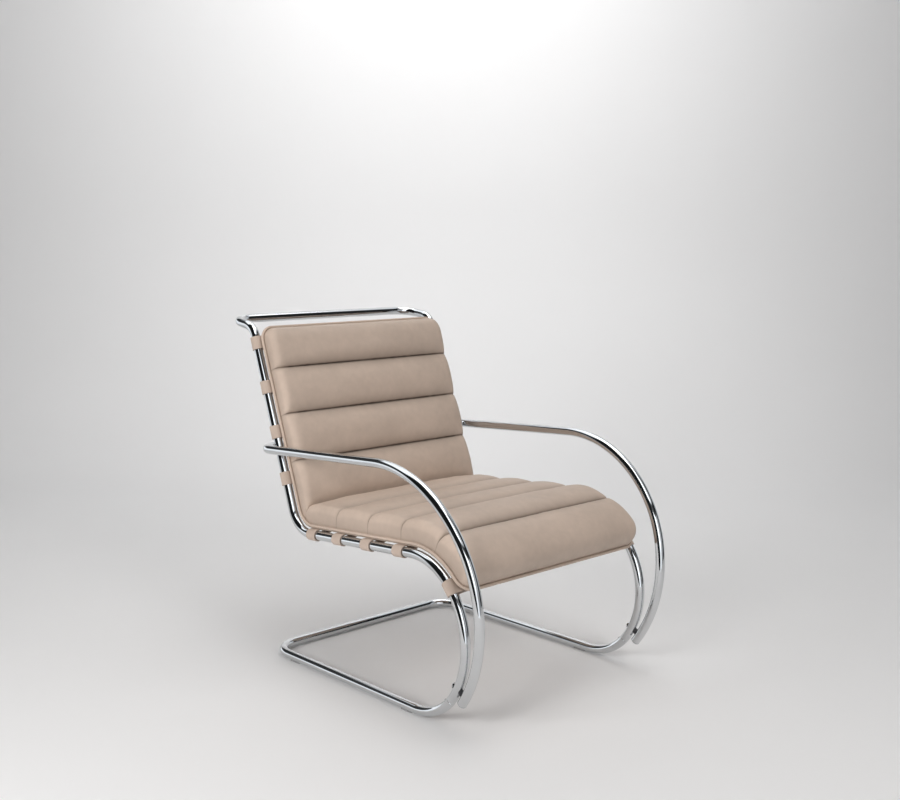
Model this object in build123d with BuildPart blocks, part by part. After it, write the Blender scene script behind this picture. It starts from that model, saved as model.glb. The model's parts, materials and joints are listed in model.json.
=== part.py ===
"""A cantilever lounge chair: bent steel tube, leather straps and one channelled leather pad.

Millimetres, +Z up, the sitter faces -Y and the chair is symmetric about the plane X = 0.
The origin is on the floor under the middle of the chair's outline.
A side view is drawn as a trail: a point and a heading that follow runs and bends.
A heading of 0 points forwards, 90 points up and 180 points to the rear.
"""

from build123d import *
import math
import os

# ---------------------------------------------------------------- tube and frame, driving sizes
TUBE_D = 22.0
TUBE_WALL = 2.0
FRAME_WIDTH = 582.0  # between the centrelines of the two side tubes
GLIDE_HEIGHT = 2.0  # the tube stands this far off the floor
TUBE_R = TUBE_D / 2
TUBE_BORE_R = TUBE_R - TUBE_WALL
FRAME_HALF = FRAME_WIDTH / 2
EDGE_BREAK = 0.5  # chamfer on every cut tube end

RAIL_LENGTH = 482.0  # straight part of a floor rail
BASE_CORNER_R = 64.0
LOWER_BEND_R = 149.0
LOWER_BEND = 50.0  # part of the front curve that belongs to the floor loop
LOWER_BEND_REST = 4.5  # part of the same radius above the joint
MIDDLE_BEND_R = 193.0
MIDDLE_BEND = 70.0
UPPER_BEND_R = 154.0
SEAT_SLOPE = 4.0  # the seat falls this much to the rear
SEAT_RUN = 364.0
BACK_BEND_R = 71.0
BACK_LEAN = 19.2
BACK_RUN = 436.0
HOOK_BEND_R = 44.0
HOOK_BEND = 63.0
HOOK_RUN = 19.0
TOP_CORNER_R = 50.0

# ---------------------------------------------------------------- arms, driving sizes
ARM_FOOT_AHEAD = 147.5  # from the front end of a floor rail to the arm's cut end
ARM_FOOT_HEIGHT = 68.0
ARM_FOOT_HEADING = 54.0
ARM_LOWER_R = 317.0
ARM_LOWER_BEND = 50.0
ARM_UPPER_R = 294.0
ARM_REAR_SLOPE = 3.3
ARM_PAST_UPRIGHT = 3.8  # straight part of the arm behind its crossing with the upright
ARM_CORNER_R = 50.0
ARM_SADDLE_T = 1.5  # least thickness of the saddle between arm and upright

# ---------------------------------------------------------------- joints and fastenings
SLIDE_FIT = 0.1  # radial clearance of a plug or spigot in the tube
SPIGOT_DOWN = 9.0  # angle of the lower bend that the spigot fills below the joint
SPIGOT_UP = 14.0  # angle of the middle bend that the spigot fills
SCREW_R = 2.5
SCREW_FIT = 0.2  # radial clearance of a screw or bolt in its hole
SCREW_HEAD_R = 4.6
SCREW_BELOW_JOINT = 5.0  # angle of the lower bend between the joint and its screw
SCREW_LENGTH = 13.0
BOLT_R = 3.0
BOLT_HEAD_R = 5.5
BOLT_HEAD_T = 3.2
BOLT_UP = 20.0  # distance of the foot bolt from the arm's cut end, along the arm
BOLT_GRIP = 8.0  # how far the foot bolt is screwed into the arm's plug
WASHER_R = 7.5
WASHER_T = 1.0
SPACER_R = 7.0
PLUG_LENGTH = 36.0
PLUG_CAP_T = 3.0
PLUG_CAP_ROUND = 2.5
SADDLE_R = 8.0
REAR_SCREW_GRIP = 7.0  # how far the rear screw reaches into the arm tube
GLIDE_LENGTH = 38.0
GLIDE_WIDTH = 12.0
GLIDE_FIT = 0.1
GLIDE_PEG_R = 2.5
GLIDE_PEG_LENGTH = 5.0
GLIDE_INSET = 30.0  # from each end of a floor rail to the middle of its glide

# ---------------------------------------------------------------- leather straps
STRAP_T = 2.6
STRAP_WIDTH = 32.0
STRAP_FIT = 0.3  # gap between leather and tube
STRAP_RETURN = 25.0  # angle past half a turn at which the end leaves the tube
STRAP_LAP_BEND_R = 12.0
STRAP_LAP = 34.0
STRAP_BELOW_ARM = 75.0  # up the upright, from a strap's middle to the arm's crossing
STRAP_ABOVE_ARM = 41.0
STRAP_BELOW_HOOK = 16.0  # from the top strap's middle to the bend at the top
SEAT_STRAPS_AT = [329.0, 217.0, 112.0, 13.0]  # along the seat rail from the seat bend
NOSE_STRAP_ANGLE = 48.5  # round the front curve from the vertical
RIVET_R = 2.0
RIVET_HEAD_R = 4.5
RIVET_HEAD_T = 1.0
RIVET_FROM_END = 12.0  # from the strap's cut end
RIVET_FIT = 0.1

# ---------------------------------------------------------------- pad, heights above the tube centreline
LAYER_GAP = 0.3  # between straps, backing, cover and welt
BACKING_T = 2.5
LEATHER_T = 1.6
CORE_FIT = 0.3  # gap between a foam core and the leather round it
WELT_R = 3.3
PAD_HALF = 283.4  # half width of the channels, inside the welt
SHOULDER = 28.0  # width over which the sides are drawn in
SHOULDER_POWER = 2.4
SHOULDER_STEPS = [0.0, 0.5, 0.8, 0.95, 1.0]
PLAN_CORNER_R = 30.0  # corner radius of the pad at the top and at the nose
EDGE_HEIGHT = 22.0
EDGE_SHARE = 0.06  # share of its height that a channel keeps at the welt
CROWN_SHARE = 0.04  # extra share of its height in the middle of the width
BACK_VALLEY = 42.0
BACK_CREST = 54.0
SEAT_VALLEY = 60.0
SEAT_CREST = 71.0
NOSE_CREST = 72.0
END_RUN = 29.0  # length of the rounded end of the first and the last channel
END_DROP = 5.0  # height lost where the rounded end begins
END_FULLNESS = 0.76  # how far out the rounded end's middle lies, as a share of its length and height
NOSE_FLAT = 34.0  # the pad leaves the front curve and ends straight over this length
NOSE_ANGLE = 44.0  # where it does so, round the front curve from the vertical
NOSE_SEAM_ANGLE = 19.0
SEAT_SEAMS_AT = [323.0, 206.5, 90.0]  # along the seat rail from the seat bend
BACK_SEAMS_AT = [112.0, 228.0, 343.0]  # up the upright from the seat bend
BACK_TOP_AT = 447.0


# ---------------------------------------------------------------- trails
def toward(heading):
    """Unit vector of a heading in a side view, first forwards-backwards, then up."""
    angle = math.radians(heading)
    return Vector(-math.cos(angle), math.sin(angle))


def run(length):
    return (length, 0.0, 0.0)


def bend(radius, angle):
    return (0.0, radius, angle)


def follow(point, heading, move):
    """End point and heading after one run or bend."""
    length, radius, angle = move
    if not angle:
        return point + toward(heading) * length, heading
    turn = math.copysign(1.0, angle)
    centre = point + toward(heading + 90 * turn) * radius
    end_heading = heading + angle
    return centre - toward(end_heading + 90 * turn) * radius, end_heading


def trail_end(point, heading, moves):
    for move in moves:
        point, heading = follow(point, heading, move)
    return point, heading


def draw_trail(plane, point, heading, moves):
    """Draw the moves on a plane, inside an open BuildLine, and return where they end."""
    for length, radius, angle in moves:
        end, end_heading = follow(point, heading, (length, radius, angle))
        if angle:
            middle, _ = follow(point, heading, bend(radius, angle / 2))
            ThreePointArc(*[plane.from_local_coords(v) for v in (point, middle, end)])
        else:
            Line(plane.from_local_coords(point), plane.from_local_coords(end))
        point, heading = end, end_heading
    return point, heading


def draw_corner(start, incoming, outgoing, radius):
    """Draw a bend in space from one direction to another and return its end."""
    tangent_length = radius * math.tan(math.radians(incoming.get_angle(outgoing)) / 2)
    end = start + (incoming + outgoing) * tangent_length
    TangentArc(start, end, tangent=incoming)
    return end


# ---------------------------------------------------------------- the side view of frame and arm
RAIL_HEIGHT = GLIDE_HEIGHT + TUBE_R
UPPER_BEND = 180.0 + SEAT_SLOPE - LOWER_BEND - LOWER_BEND_REST - MIDDLE_BEND
BACK_BEND = -(90.0 + SEAT_SLOPE - BACK_LEAN)
BASE_MOVES = [run(RAIL_LENGTH), bend(LOWER_BEND_R, LOWER_BEND)]
CURVE_MOVES = [
    bend(LOWER_BEND_R, LOWER_BEND_REST),
    bend(MIDDLE_BEND_R, MIDDLE_BEND),
    bend(UPPER_BEND_R, UPPER_BEND),
]
SEAT_MOVES = [run(SEAT_RUN), bend(BACK_BEND_R, BACK_BEND)]
BACK_MOVES = [run(BACK_RUN), bend(HOOK_BEND_R, HOOK_BEND), run(HOOK_RUN)]
ARM_UPPER_BEND = 180.0 + ARM_REAR_SLOPE - ARM_FOOT_HEADING - ARM_LOWER_BEND
ARM_FRONT_MOVES = [bend(ARM_LOWER_R, ARM_LOWER_BEND), bend(ARM_UPPER_R, ARM_UPPER_BEND)]


def rear_of_rails():
    """Place the rear end of the floor rails so that the whole outline is centred on Y = 0."""
    hook, heading = trail_end(Vector(0, 0), 0.0, BASE_MOVES + CURVE_MOVES + SEAT_MOVES + BACK_MOVES)
    rearmost = (hook + toward(heading) * TOP_CORNER_R).X + TUBE_R
    foot = Vector(-RAIL_LENGTH - ARM_FOOT_AHEAD, 0)
    knee, knee_heading = trail_end(foot, ARM_FOOT_HEADING, ARM_FRONT_MOVES[:1])
    knee_centre = knee + toward(knee_heading + 90) * ARM_UPPER_R
    if knee_heading < 90:
        foremost = knee_centre.X - ARM_UPPER_R - TUBE_R
    else:
        foot_centre = foot + toward(ARM_FOOT_HEADING + 90) * ARM_LOWER_R
        foremost = foot_centre.X - ARM_LOWER_R - TUBE_R
    return -(foremost + rearmost) / 2


RAIL_REAR = Vector(rear_of_rails(), RAIL_HEIGHT)
RAIL_FRONT, _ = trail_end(RAIL_REAR, 0.0, BASE_MOVES[:1])
JOINT, JOINT_HEADING = trail_end(RAIL_REAR, 0.0, BASE_MOVES)
SEAT_FRONT, SEAT_HEADING = trail_end(JOINT, JOINT_HEADING, CURVE_MOVES)
SEAT_REAR, _ = trail_end(SEAT_FRONT, SEAT_HEADING, SEAT_MOVES[:1])
BACK_FOOT, BACK_HEADING = trail_end(SEAT_FRONT, SEAT_HEADING, SEAT_MOVES)
ARM_FOOT = Vector(RAIL_FRONT.X - ARM_FOOT_AHEAD, ARM_FOOT_HEIGHT)
ARM_KNEE, ARM_REAR_HEADING = trail_end(ARM_FOOT, ARM_FOOT_HEADING, ARM_FRONT_MOVES)


def distance_to_line(point, heading, other, other_heading):
    """How far along one line in the side view another line crosses it."""
    gap = other - point
    along, across = toward(heading), toward(other_heading)
    return (gap.X * across.Y - gap.Y * across.X) / (along.X * across.Y - along.Y * across.X)


# The arm runs on past the upright, and the back straps keep clear of where they cross.
ARM_TO_UPRIGHT = distance_to_line(ARM_KNEE, ARM_REAR_HEADING, BACK_FOOT, BACK_HEADING)
CROSSING_AT = distance_to_line(BACK_FOOT, BACK_HEADING, ARM_KNEE, ARM_REAR_HEADING)
ARM_MOVES = [*ARM_FRONT_MOVES, run(ARM_TO_UPRIGHT + ARM_PAST_UPRIGHT)]
ARM_REAR, _ = trail_end(ARM_FOOT, ARM_FOOT_HEADING, ARM_MOVES)
STRAP_TOP_AT = BACK_RUN - STRAP_BELOW_HOOK
STRAP_NEXT_AT = CROSSING_AT + STRAP_ABOVE_ARM
BACK_STRAPS_AT = [
    CROSSING_AT - STRAP_BELOW_ARM,
    STRAP_NEXT_AT,
    (STRAP_NEXT_AT + STRAP_TOP_AT) / 2,
    STRAP_TOP_AT,
]

SIDE = Plane.YZ.offset(-FRAME_HALF)

# Each arm leans outwards, from the plane of the frame at its foot to clear of the upright behind.
ARM_SPREAD = TUBE_D + ARM_SADDLE_T
ARM_LEAN = math.asin(ARM_SPREAD / (ARM_REAR.Y - ARM_FOOT.Y))
ARM_PLANE = Plane(
    origin=(-FRAME_HALF, 0, ARM_FOOT.Y),
    x_dir=(0, 1, 0),
    z_dir=(math.cos(ARM_LEAN), 0, math.sin(ARM_LEAN)),
)
ARM_START = Vector(ARM_FOOT.X, 0)


# ---------------------------------------------------------------- places of the fastenings
def in_space(direction):
    """A side-view direction as a direction in space."""
    return Vector(0, direction.X, direction.Y)


def side_plane(centre, outwards):
    """Plane at a place on a side tube's centreline with +Z along a side-view direction."""
    return Plane(origin=SIDE.from_local_coords(centre), x_dir=(1, 0, 0), z_dir=in_space(outwards))


MIDDLE_START, MIDDLE_HEADING = trail_end(JOINT, JOINT_HEADING, CURVE_MOVES[:1])
MIDDLE_CENTRE = MIDDLE_START + toward(MIDDLE_HEADING + 90) * MIDDLE_BEND_R
UPPER_CENTRE = SEAT_FRONT + toward(SEAT_HEADING + 90) * UPPER_BEND_R

JOINT_SCREW_HEADING = LOWER_BEND - SCREW_BELOW_JOINT
JOINT_SCREW_AT, _ = trail_end(RAIL_FRONT, 0.0, [bend(LOWER_BEND_R, JOINT_SCREW_HEADING)])
JOINT_SCREW_PLANE = side_plane(JOINT_SCREW_AT, toward(JOINT_SCREW_HEADING + 90))

# The foot bolt runs from the arm towards the centre of the middle bend.
ARM_BOLT_AT, _ = trail_end(
    ARM_START, ARM_FOOT_HEADING, [bend(ARM_LOWER_R, math.degrees(BOLT_UP / ARM_LOWER_R))]
)
ARM_BOLT_POINT = ARM_PLANE.from_local_coords(ARM_BOLT_AT)
BOLT_REACH = MIDDLE_CENTRE - Vector(ARM_BOLT_POINT.Y, ARM_BOLT_POINT.Z)
BOLT_TO_FRAME = BOLT_REACH.length - MIDDLE_BEND_R  # between the two centrelines
BOLT_PLANE = Plane(origin=ARM_BOLT_POINT, x_dir=(1, 0, 0), z_dir=in_space(BOLT_REACH))
BOLT_TIP = TUBE_BORE_R - SLIDE_FIT - BOLT_GRIP
BOLT_HEAD_AT = BOLT_TO_FRAME + TUBE_R + WASHER_T

# The arm crosses the upright where their side views meet.
ARM_REAR_POINT = ARM_PLANE.from_local_coords(Vector(ARM_REAR.X, ARM_REAR.Y - ARM_FOOT.Y))
ARM_FORWARD = ARM_PLANE.from_local_coords(ARM_START + toward(ARM_REAR_HEADING)) - SIDE.from_local_coords(
    ARM_START + Vector(0, ARM_FOOT.Y)
)
UPRIGHT = in_space(toward(BACK_HEADING))
TO_UPRIGHT = Vector(0, BACK_FOOT.X - ARM_REAR_POINT.Y, BACK_FOOT.Y - ARM_REAR_POINT.Z)
CROSSING_SHARE = TO_UPRIGHT.cross(UPRIGHT).X / ARM_FORWARD.cross(UPRIGHT).X
ARM_CROSSING = ARM_REAR_POINT + ARM_FORWARD * CROSSING_SHARE
REAR_SCREW_PLANE = Plane(
    origin=(-FRAME_HALF, ARM_CROSSING.Y, ARM_CROSSING.Z), x_dir=(0, 1, 0), z_dir=(1, 0, 0)
)
CROSSING_GAP = -FRAME_HALF - ARM_CROSSING.X - TUBE_D
REAR_SCREW_LENGTH = TUBE_D + CROSSING_GAP + TUBE_WALL + REAR_SCREW_GRIP

GLIDE_CENTRES = {
    "rear": RAIL_REAR.X - GLIDE_INSET,
    "front": RAIL_FRONT.X + GLIDE_INSET,
}
DOWN = (Align.CENTER, Align.CENTER, Align.MAX)
UP = (Align.CENTER, Align.CENTER, Align.MIN)
SIDES = {"left": 1, "right": -1}  # the sitter's left is +X


# ---------------------------------------------------------------- bent tubes
def break_cut_end(part, point):
    """Chamfer the outer rim of the tube's cut end at a point."""
    rims = part.edges().filter_by(GeomType.CIRCLE)
    outer_rims = rims.filter_by(lambda rim: abs(rim.radius - TUBE_R) < TUBE_WALL / 2)
    chamfer(outer_rims.sort_by_distance(point)[0], EDGE_BREAK)


os.makedirs("parts", exist_ok=True)

with BuildPart() as base_frame:
    with BuildLine() as base_side:
        draw_trail(SIDE, RAIL_REAR, 0.0, BASE_MOVES)
    with BuildSketch(base_side.line ^ 0):
        Circle(TUBE_R)
        Circle(TUBE_BORE_R, mode=Mode.SUBTRACT)
    sweep(path=base_side.line)
    break_cut_end(base_frame.part, base_side.line @ 1)
    with Locations(JOINT_SCREW_PLANE.offset(TUBE_R)):
        CounterSinkHole(SCREW_R + SCREW_FIT, SCREW_HEAD_R, TUBE_R - TUBE_BORE_R / 2, 90)
    with Locations(*[(-FRAME_HALF, y, 0) for y in GLIDE_CENTRES.values()]):
        Cylinder(GLIDE_PEG_R + GLIDE_FIT, RAIL_HEIGHT, align=UP, mode=Mode.SUBTRACT)
    with BuildLine() as base_rear:
        corner_end = draw_corner(base_side.line @ 0, Vector(0, 1, 0), Vector(1, 0, 0), BASE_CORNER_R)
        Line(corner_end, Vector(0, corner_end.Y, corner_end.Z))
    with BuildSketch(base_rear.line ^ 0):
        Circle(TUBE_R)
        Circle(TUBE_BORE_R, mode=Mode.SUBTRACT)
    sweep(path=base_rear.line)
    mirror(about=Plane.YZ)
base_frame.part.label = "base_frame"

with BuildPart() as upper_frame:
    with BuildLine() as upper_side:
        draw_trail(SIDE, JOINT, JOINT_HEADING, CURVE_MOVES + SEAT_MOVES + BACK_MOVES)
    with BuildSketch(upper_side.line ^ 0):
        Circle(TUBE_R)
        Circle(TUBE_BORE_R, mode=Mode.SUBTRACT)
    sweep(path=upper_side.line)
    break_cut_end(upper_frame.part, upper_side.line @ 0)
    with Locations(BOLT_PLANE.offset(BOLT_TO_FRAME)):
        Cylinder(BOLT_R + SCREW_FIT, 2 * TUBE_D, mode=Mode.SUBTRACT)
    with Locations(REAR_SCREW_PLANE.offset(TUBE_R)):
        CounterSinkHole(SCREW_R + SCREW_FIT, SCREW_HEAD_R, 2 * TUBE_D, 90)
    with BuildLine() as upper_rear:
        corner_end = draw_corner(
            upper_side.line @ 1, upper_side.line % 1, Vector(1, 0, 0), TOP_CORNER_R
        )
        Line(corner_end, Vector(0, corner_end.Y, corner_end.Z))
    with BuildSketch(upper_rear.line ^ 0):
        Circle(TUBE_R)
        Circle(TUBE_BORE_R, mode=Mode.SUBTRACT)
    sweep(path=upper_rear.line)
    mirror(about=Plane.YZ)
upper_frame.part.label = "upper_frame"

with BuildPart() as arm_loop:
    with BuildLine() as arm_side:
        draw_trail(ARM_PLANE, ARM_START, ARM_FOOT_HEADING, ARM_MOVES)
    with BuildSketch(arm_side.line ^ 0):
        Circle(TUBE_R)
        Circle(TUBE_BORE_R, mode=Mode.SUBTRACT)
    sweep(path=arm_side.line)
    break_cut_end(arm_loop.part, arm_side.line @ 0)
    with Locations(BOLT_PLANE):
        Cylinder(BOLT_R + SCREW_FIT, TUBE_D, align=UP, mode=Mode.SUBTRACT)
    with Locations(REAR_SCREW_PLANE.offset(-TUBE_R)):
        Cylinder(SCREW_R + SCREW_FIT, TUBE_R, align=DOWN, mode=Mode.SUBTRACT)
    with BuildLine() as arm_rear:
        corner_end = draw_corner(arm_side.line @ 1, arm_side.line % 1, Vector(1, 0, 0), ARM_CORNER_R)
        Line(corner_end, Vector(0, corner_end.Y, corner_end.Z))
    with BuildSketch(arm_rear.line ^ 0):
        Circle(TUBE_R)
        Circle(TUBE_BORE_R, mode=Mode.SUBTRACT)
    sweep(path=arm_rear.line)
    mirror(about=Plane.YZ)
arm_loop.part.label = "arm_loop"

# ---------------------------------------------------------------- what joins the tubes
with BuildPart() as frame_spigot:
    with BuildLine() as spigot_line:
        spigot_start, spigot_heading = trail_end(
            RAIL_FRONT, 0.0, [bend(LOWER_BEND_R, LOWER_BEND - SPIGOT_DOWN)]
        )
        spigot_moves = [
            bend(LOWER_BEND_R, SPIGOT_DOWN + LOWER_BEND_REST),
            bend(MIDDLE_BEND_R, SPIGOT_UP),
        ]
        draw_trail(SIDE, spigot_start, spigot_heading, spigot_moves)
    with BuildSketch(spigot_line.line ^ 0):
        Circle(TUBE_BORE_R - SLIDE_FIT)
    sweep(path=spigot_line.line)
    with Locations(JOINT_SCREW_PLANE.offset(TUBE_R - SCREW_LENGTH)):
        Cylinder(SCREW_R + SLIDE_FIT, TUBE_R, align=UP, mode=Mode.SUBTRACT)
    with Locations(BOLT_PLANE.offset(BOLT_TO_FRAME)):
        Cylinder(BOLT_R + SCREW_FIT, TUBE_D, mode=Mode.SUBTRACT)

with BuildPart() as joint_screws:
    with BuildSketch(JOINT_SCREW_PLANE.offset(TUBE_R)):
        Circle(SCREW_R)
    extrude(amount=-SCREW_LENGTH)
    with Locations(JOINT_SCREW_PLANE.offset(TUBE_R)):
        Cone(SCREW_R, SCREW_HEAD_R, SCREW_HEAD_R - SCREW_R, align=DOWN)
    mirror(about=Plane.YZ)
joint_screws.part.label = "joint_screws"

with BuildPart() as arm_end_plug:
    with BuildLine() as plug_line:
        plug_turn = math.degrees(PLUG_LENGTH / ARM_LOWER_R)
        draw_trail(ARM_PLANE, ARM_START, ARM_FOOT_HEADING, [bend(ARM_LOWER_R, plug_turn)])
    with BuildSketch(plug_line.line ^ 0):
        Circle(TUBE_BORE_R - SLIDE_FIT)
    sweep(path=plug_line.line)
    with Locations(plug_line.line ^ 0):
        Cylinder(TUBE_R, PLUG_CAP_T, align=DOWN)
    rims = arm_end_plug.edges().filter_by(GeomType.CIRCLE).sort_by(Axis.Z)
    fillet(rims[0], PLUG_CAP_ROUND)
    with Locations(BOLT_PLANE.offset(BOLT_TIP)):
        Cylinder(BOLT_R + SLIDE_FIT, TUBE_R, align=UP, mode=Mode.SUBTRACT)

with BuildPart() as foot_spacer:
    with Locations(BOLT_PLANE.offset(BOLT_TO_FRAME / 2)):
        Cylinder(SPACER_R, BOLT_TO_FRAME - TUBE_D + TUBE_WALL)
        Cylinder(BOLT_R + SCREW_FIT, BOLT_TO_FRAME, mode=Mode.SUBTRACT)
    add(arm_loop.part, mode=Mode.SUBTRACT)
    add(upper_frame.part, mode=Mode.SUBTRACT)

with BuildPart() as foot_washer:
    with Locations(BOLT_PLANE.offset(BOLT_HEAD_AT)):
        Cylinder(WASHER_R, WASHER_T + TUBE_WALL / 2, align=DOWN)
        Cylinder(BOLT_R + SCREW_FIT, TUBE_R, mode=Mode.SUBTRACT)
    add(upper_frame.part, mode=Mode.SUBTRACT)

with BuildPart() as foot_bolt:
    with Locations(BOLT_PLANE.offset(BOLT_TIP)):
        Cylinder(BOLT_R, BOLT_HEAD_AT - BOLT_TIP, align=UP)
    with Locations(BOLT_PLANE.offset(BOLT_HEAD_AT)):
        Cylinder(BOLT_HEAD_R, BOLT_HEAD_T, align=UP)
    head_face = foot_bolt.faces().filter_by(GeomType.PLANE).sort_by_distance(
        BOLT_PLANE.offset(BOLT_HEAD_AT + BOLT_HEAD_T).origin
    )[0]
    fillet(head_face.outer_wire().edges(), BOLT_HEAD_T / 2)
    with BuildSketch(BOLT_PLANE.offset(BOLT_HEAD_AT + BOLT_HEAD_T)):
        RegularPolygon(BOLT_R, 6, major_radius=False)
    extrude(amount=-BOLT_HEAD_T * 2 / 3, mode=Mode.SUBTRACT)

with BuildPart() as rear_saddle:
    with Locations(REAR_SCREW_PLANE.offset(-TUBE_R - CROSSING_GAP / 2)):
        Cylinder(SADDLE_R, CROSSING_GAP + TUBE_WALL)
        Cylinder(SCREW_R + SCREW_FIT, TUBE_D, mode=Mode.SUBTRACT)
    add(arm_loop.part, mode=Mode.SUBTRACT)
    add(upper_frame.part, mode=Mode.SUBTRACT)

with BuildPart() as rear_screws:
    with Locations(REAR_SCREW_PLANE.offset(TUBE_R)):
        Cylinder(SCREW_R, REAR_SCREW_LENGTH, align=DOWN)
        Cone(SCREW_R, SCREW_HEAD_R, SCREW_HEAD_R - SCREW_R, align=DOWN)
    mirror(about=Plane.YZ)
rear_screws.part.label = "rear_screws"

with BuildPart() as floor_glide:
    with BuildSketch():
        SlotOverall(GLIDE_LENGTH, GLIDE_WIDTH, rotation=90)
    extrude(amount=RAIL_HEIGHT - TUBE_R + TUBE_WALL / 2)
    with Locations((0, 0, RAIL_HEIGHT)):
        Cylinder(TUBE_R + GLIDE_FIT, 2 * GLIDE_LENGTH, rotation=(90, 0, 0), mode=Mode.SUBTRACT)
    Cylinder(GLIDE_PEG_R, RAIL_HEIGHT - TUBE_R + GLIDE_PEG_LENGTH, align=UP)

# ---------------------------------------------------------------- leather straps
STRAP_MIDDLE_R = TUBE_R + STRAP_FIT + STRAP_T / 2
STRAP_TOP = STRAP_MIDDLE_R + STRAP_T / 2
LAP_HEIGHT = STRAP_MIDDLE_R - STRAP_T - LAYER_GAP
RETURN_TURN = math.radians(STRAP_RETURN)
RETURN_RISE = (
    LAP_HEIGHT
    + STRAP_MIDDLE_R * math.cos(RETURN_TURN)
    - STRAP_LAP_BEND_R * (1 - math.cos(RETURN_TURN))
)
STRAP_START = Vector(0, STRAP_MIDDLE_R)
STRAP_MOVES = [
    run(FRAME_HALF),
    bend(STRAP_MIDDLE_R, -180.0 - STRAP_RETURN),
    run(RETURN_RISE / math.sin(RETURN_TURN)),
    bend(STRAP_LAP_BEND_R, STRAP_RETURN),
    run(STRAP_LAP),
]
STRAP_END, _ = trail_end(STRAP_START, 0.0, STRAP_MOVES)
RIVET_X = STRAP_END.X - RIVET_FROM_END
RIVET_FOOT = LAP_HEIGHT - STRAP_T / 2 - RIVET_FIT


def strap_plane(point, heading):
    """Plane across the frame with +X to the sitter's left and +Y up out of the seat or back."""
    return Plane(origin=(0, point.X, point.Y), x_dir=(1, 0, 0), z_dir=in_space(toward(heading) * -1))


def nose_plane(angle):
    heading = 180.0 - angle
    return strap_plane(UPPER_CENTRE - toward(heading + 90) * UPPER_BEND_R, heading)


NOSE_AXIS = Axis((0, UPPER_CENTRE.X, UPPER_CENTRE.Y), (1, 0, 0))
NOSE_STRAP_TURN = math.degrees(STRAP_WIDTH / UPPER_BEND_R)
SEAT_STRAP_PLANES = [
    strap_plane(SEAT_REAR - toward(SEAT_HEADING) * distance, SEAT_HEADING)
    for distance in SEAT_STRAPS_AT
]
BACK_STRAP_PLANES = [
    strap_plane(BACK_FOOT + toward(BACK_HEADING) * distance, BACK_HEADING)
    for distance in BACK_STRAPS_AT
]
STRAP_PLANES = {"seat_strap_1": nose_plane(NOSE_STRAP_ANGLE)}
for number, plane in enumerate(SEAT_STRAP_PLANES, start=2):
    STRAP_PLANES[f"seat_strap_{number}"] = plane
for number, plane in enumerate(BACK_STRAP_PLANES, start=1):
    STRAP_PLANES[f"back_strap_{number}"] = plane

RIVET_SEAT_PLANES = {}
for name, plane in STRAP_PLANES.items():
    rivet_top = plane.from_local_coords(Vector(RIVET_X, STRAP_TOP, 0))
    RIVET_SEAT_PLANES[name] = Plane(origin=rivet_top, x_dir=(1, 0, 0), z_dir=plane.y_dir)

for name, plane in STRAP_PLANES.items():
    on_nose = name == "seat_strap_1"
    if on_nose:
        plane = nose_plane(NOSE_STRAP_ANGLE + NOSE_STRAP_TURN / 2)
    with BuildPart() as strap:
        with BuildSketch(plane):
            with BuildLine() as strap_line:
                draw_trail(Plane.XY, STRAP_START, 0.0, STRAP_MOVES)
            trace(strap_line.line, line_width=STRAP_T)
        if on_nose:
            revolve(axis=NOSE_AXIS, revolution_arc=-NOSE_STRAP_TURN)
        else:
            extrude(amount=STRAP_WIDTH / 2, both=True)
        with Locations(RIVET_SEAT_PLANES[name]):
            Cylinder(RIVET_HEAD_R + RIVET_FIT, 2 * RIVET_HEAD_T, mode=Mode.SUBTRACT)
            Cylinder(RIVET_R + RIVET_FIT, STRAP_TOP, align=DOWN, mode=Mode.SUBTRACT)
        mirror(about=Plane.YZ)
    strap.part.label = name
    export_step(strap.part, f"parts/{name}.step")

with BuildPart() as strap_rivets:
    with Locations(*RIVET_SEAT_PLANES.values()):
        Cylinder(RIVET_HEAD_R, RIVET_HEAD_T, align=DOWN)
        Cylinder(RIVET_R, STRAP_TOP - RIVET_FOOT, align=DOWN)
    with Locations(*[seat.offset(RIVET_FOOT - STRAP_TOP) for seat in RIVET_SEAT_PLANES.values()]):
        Cylinder(RIVET_HEAD_R, RIVET_HEAD_T, align=DOWN)
    mirror(about=Plane.YZ)
strap_rivets.part.label = "strap_rivets"

# ---------------------------------------------------------------- the pad's line along the frame
NOSE_HEADING = 180.0 - NOSE_ANGLE
NOSE_FLAT_END = UPPER_CENTRE - toward(NOSE_HEADING + 90) * UPPER_BEND_R
PAD_START = NOSE_FLAT_END - toward(NOSE_HEADING) * NOSE_FLAT
PAD_MOVES = [
    run(NOSE_FLAT),
    bend(UPPER_BEND_R, SEAT_HEADING - NOSE_HEADING),
    run(SEAT_RUN),
    bend(BACK_BEND_R, BACK_BEND),
    run(BACK_TOP_AT),
]
SEAT_FROM = NOSE_FLAT + UPPER_BEND_R * math.radians(SEAT_HEADING - NOSE_HEADING)
FOLD_AT = SEAT_FROM + SEAT_RUN + BACK_BEND_R * math.radians(-BACK_BEND) / 2
BACK_FROM = 2 * FOLD_AT - SEAT_FROM - SEAT_RUN
NOSE_SEAM_AT = NOSE_FLAT + UPPER_BEND_R * math.radians(NOSE_ANGLE - NOSE_SEAM_ANGLE)
PAD_LENGTH = BACK_FROM + BACK_TOP_AT


def lifted(point, heading, moves, height):
    """The same trail at a height above the tube's centreline, on the sitter's side."""
    lifted_moves = [
        (length, radius + math.copysign(height, angle) if angle else 0.0, angle)
        for length, radius, angle in moves
    ]
    return point + toward(heading - 90) * height, heading, lifted_moves


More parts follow.
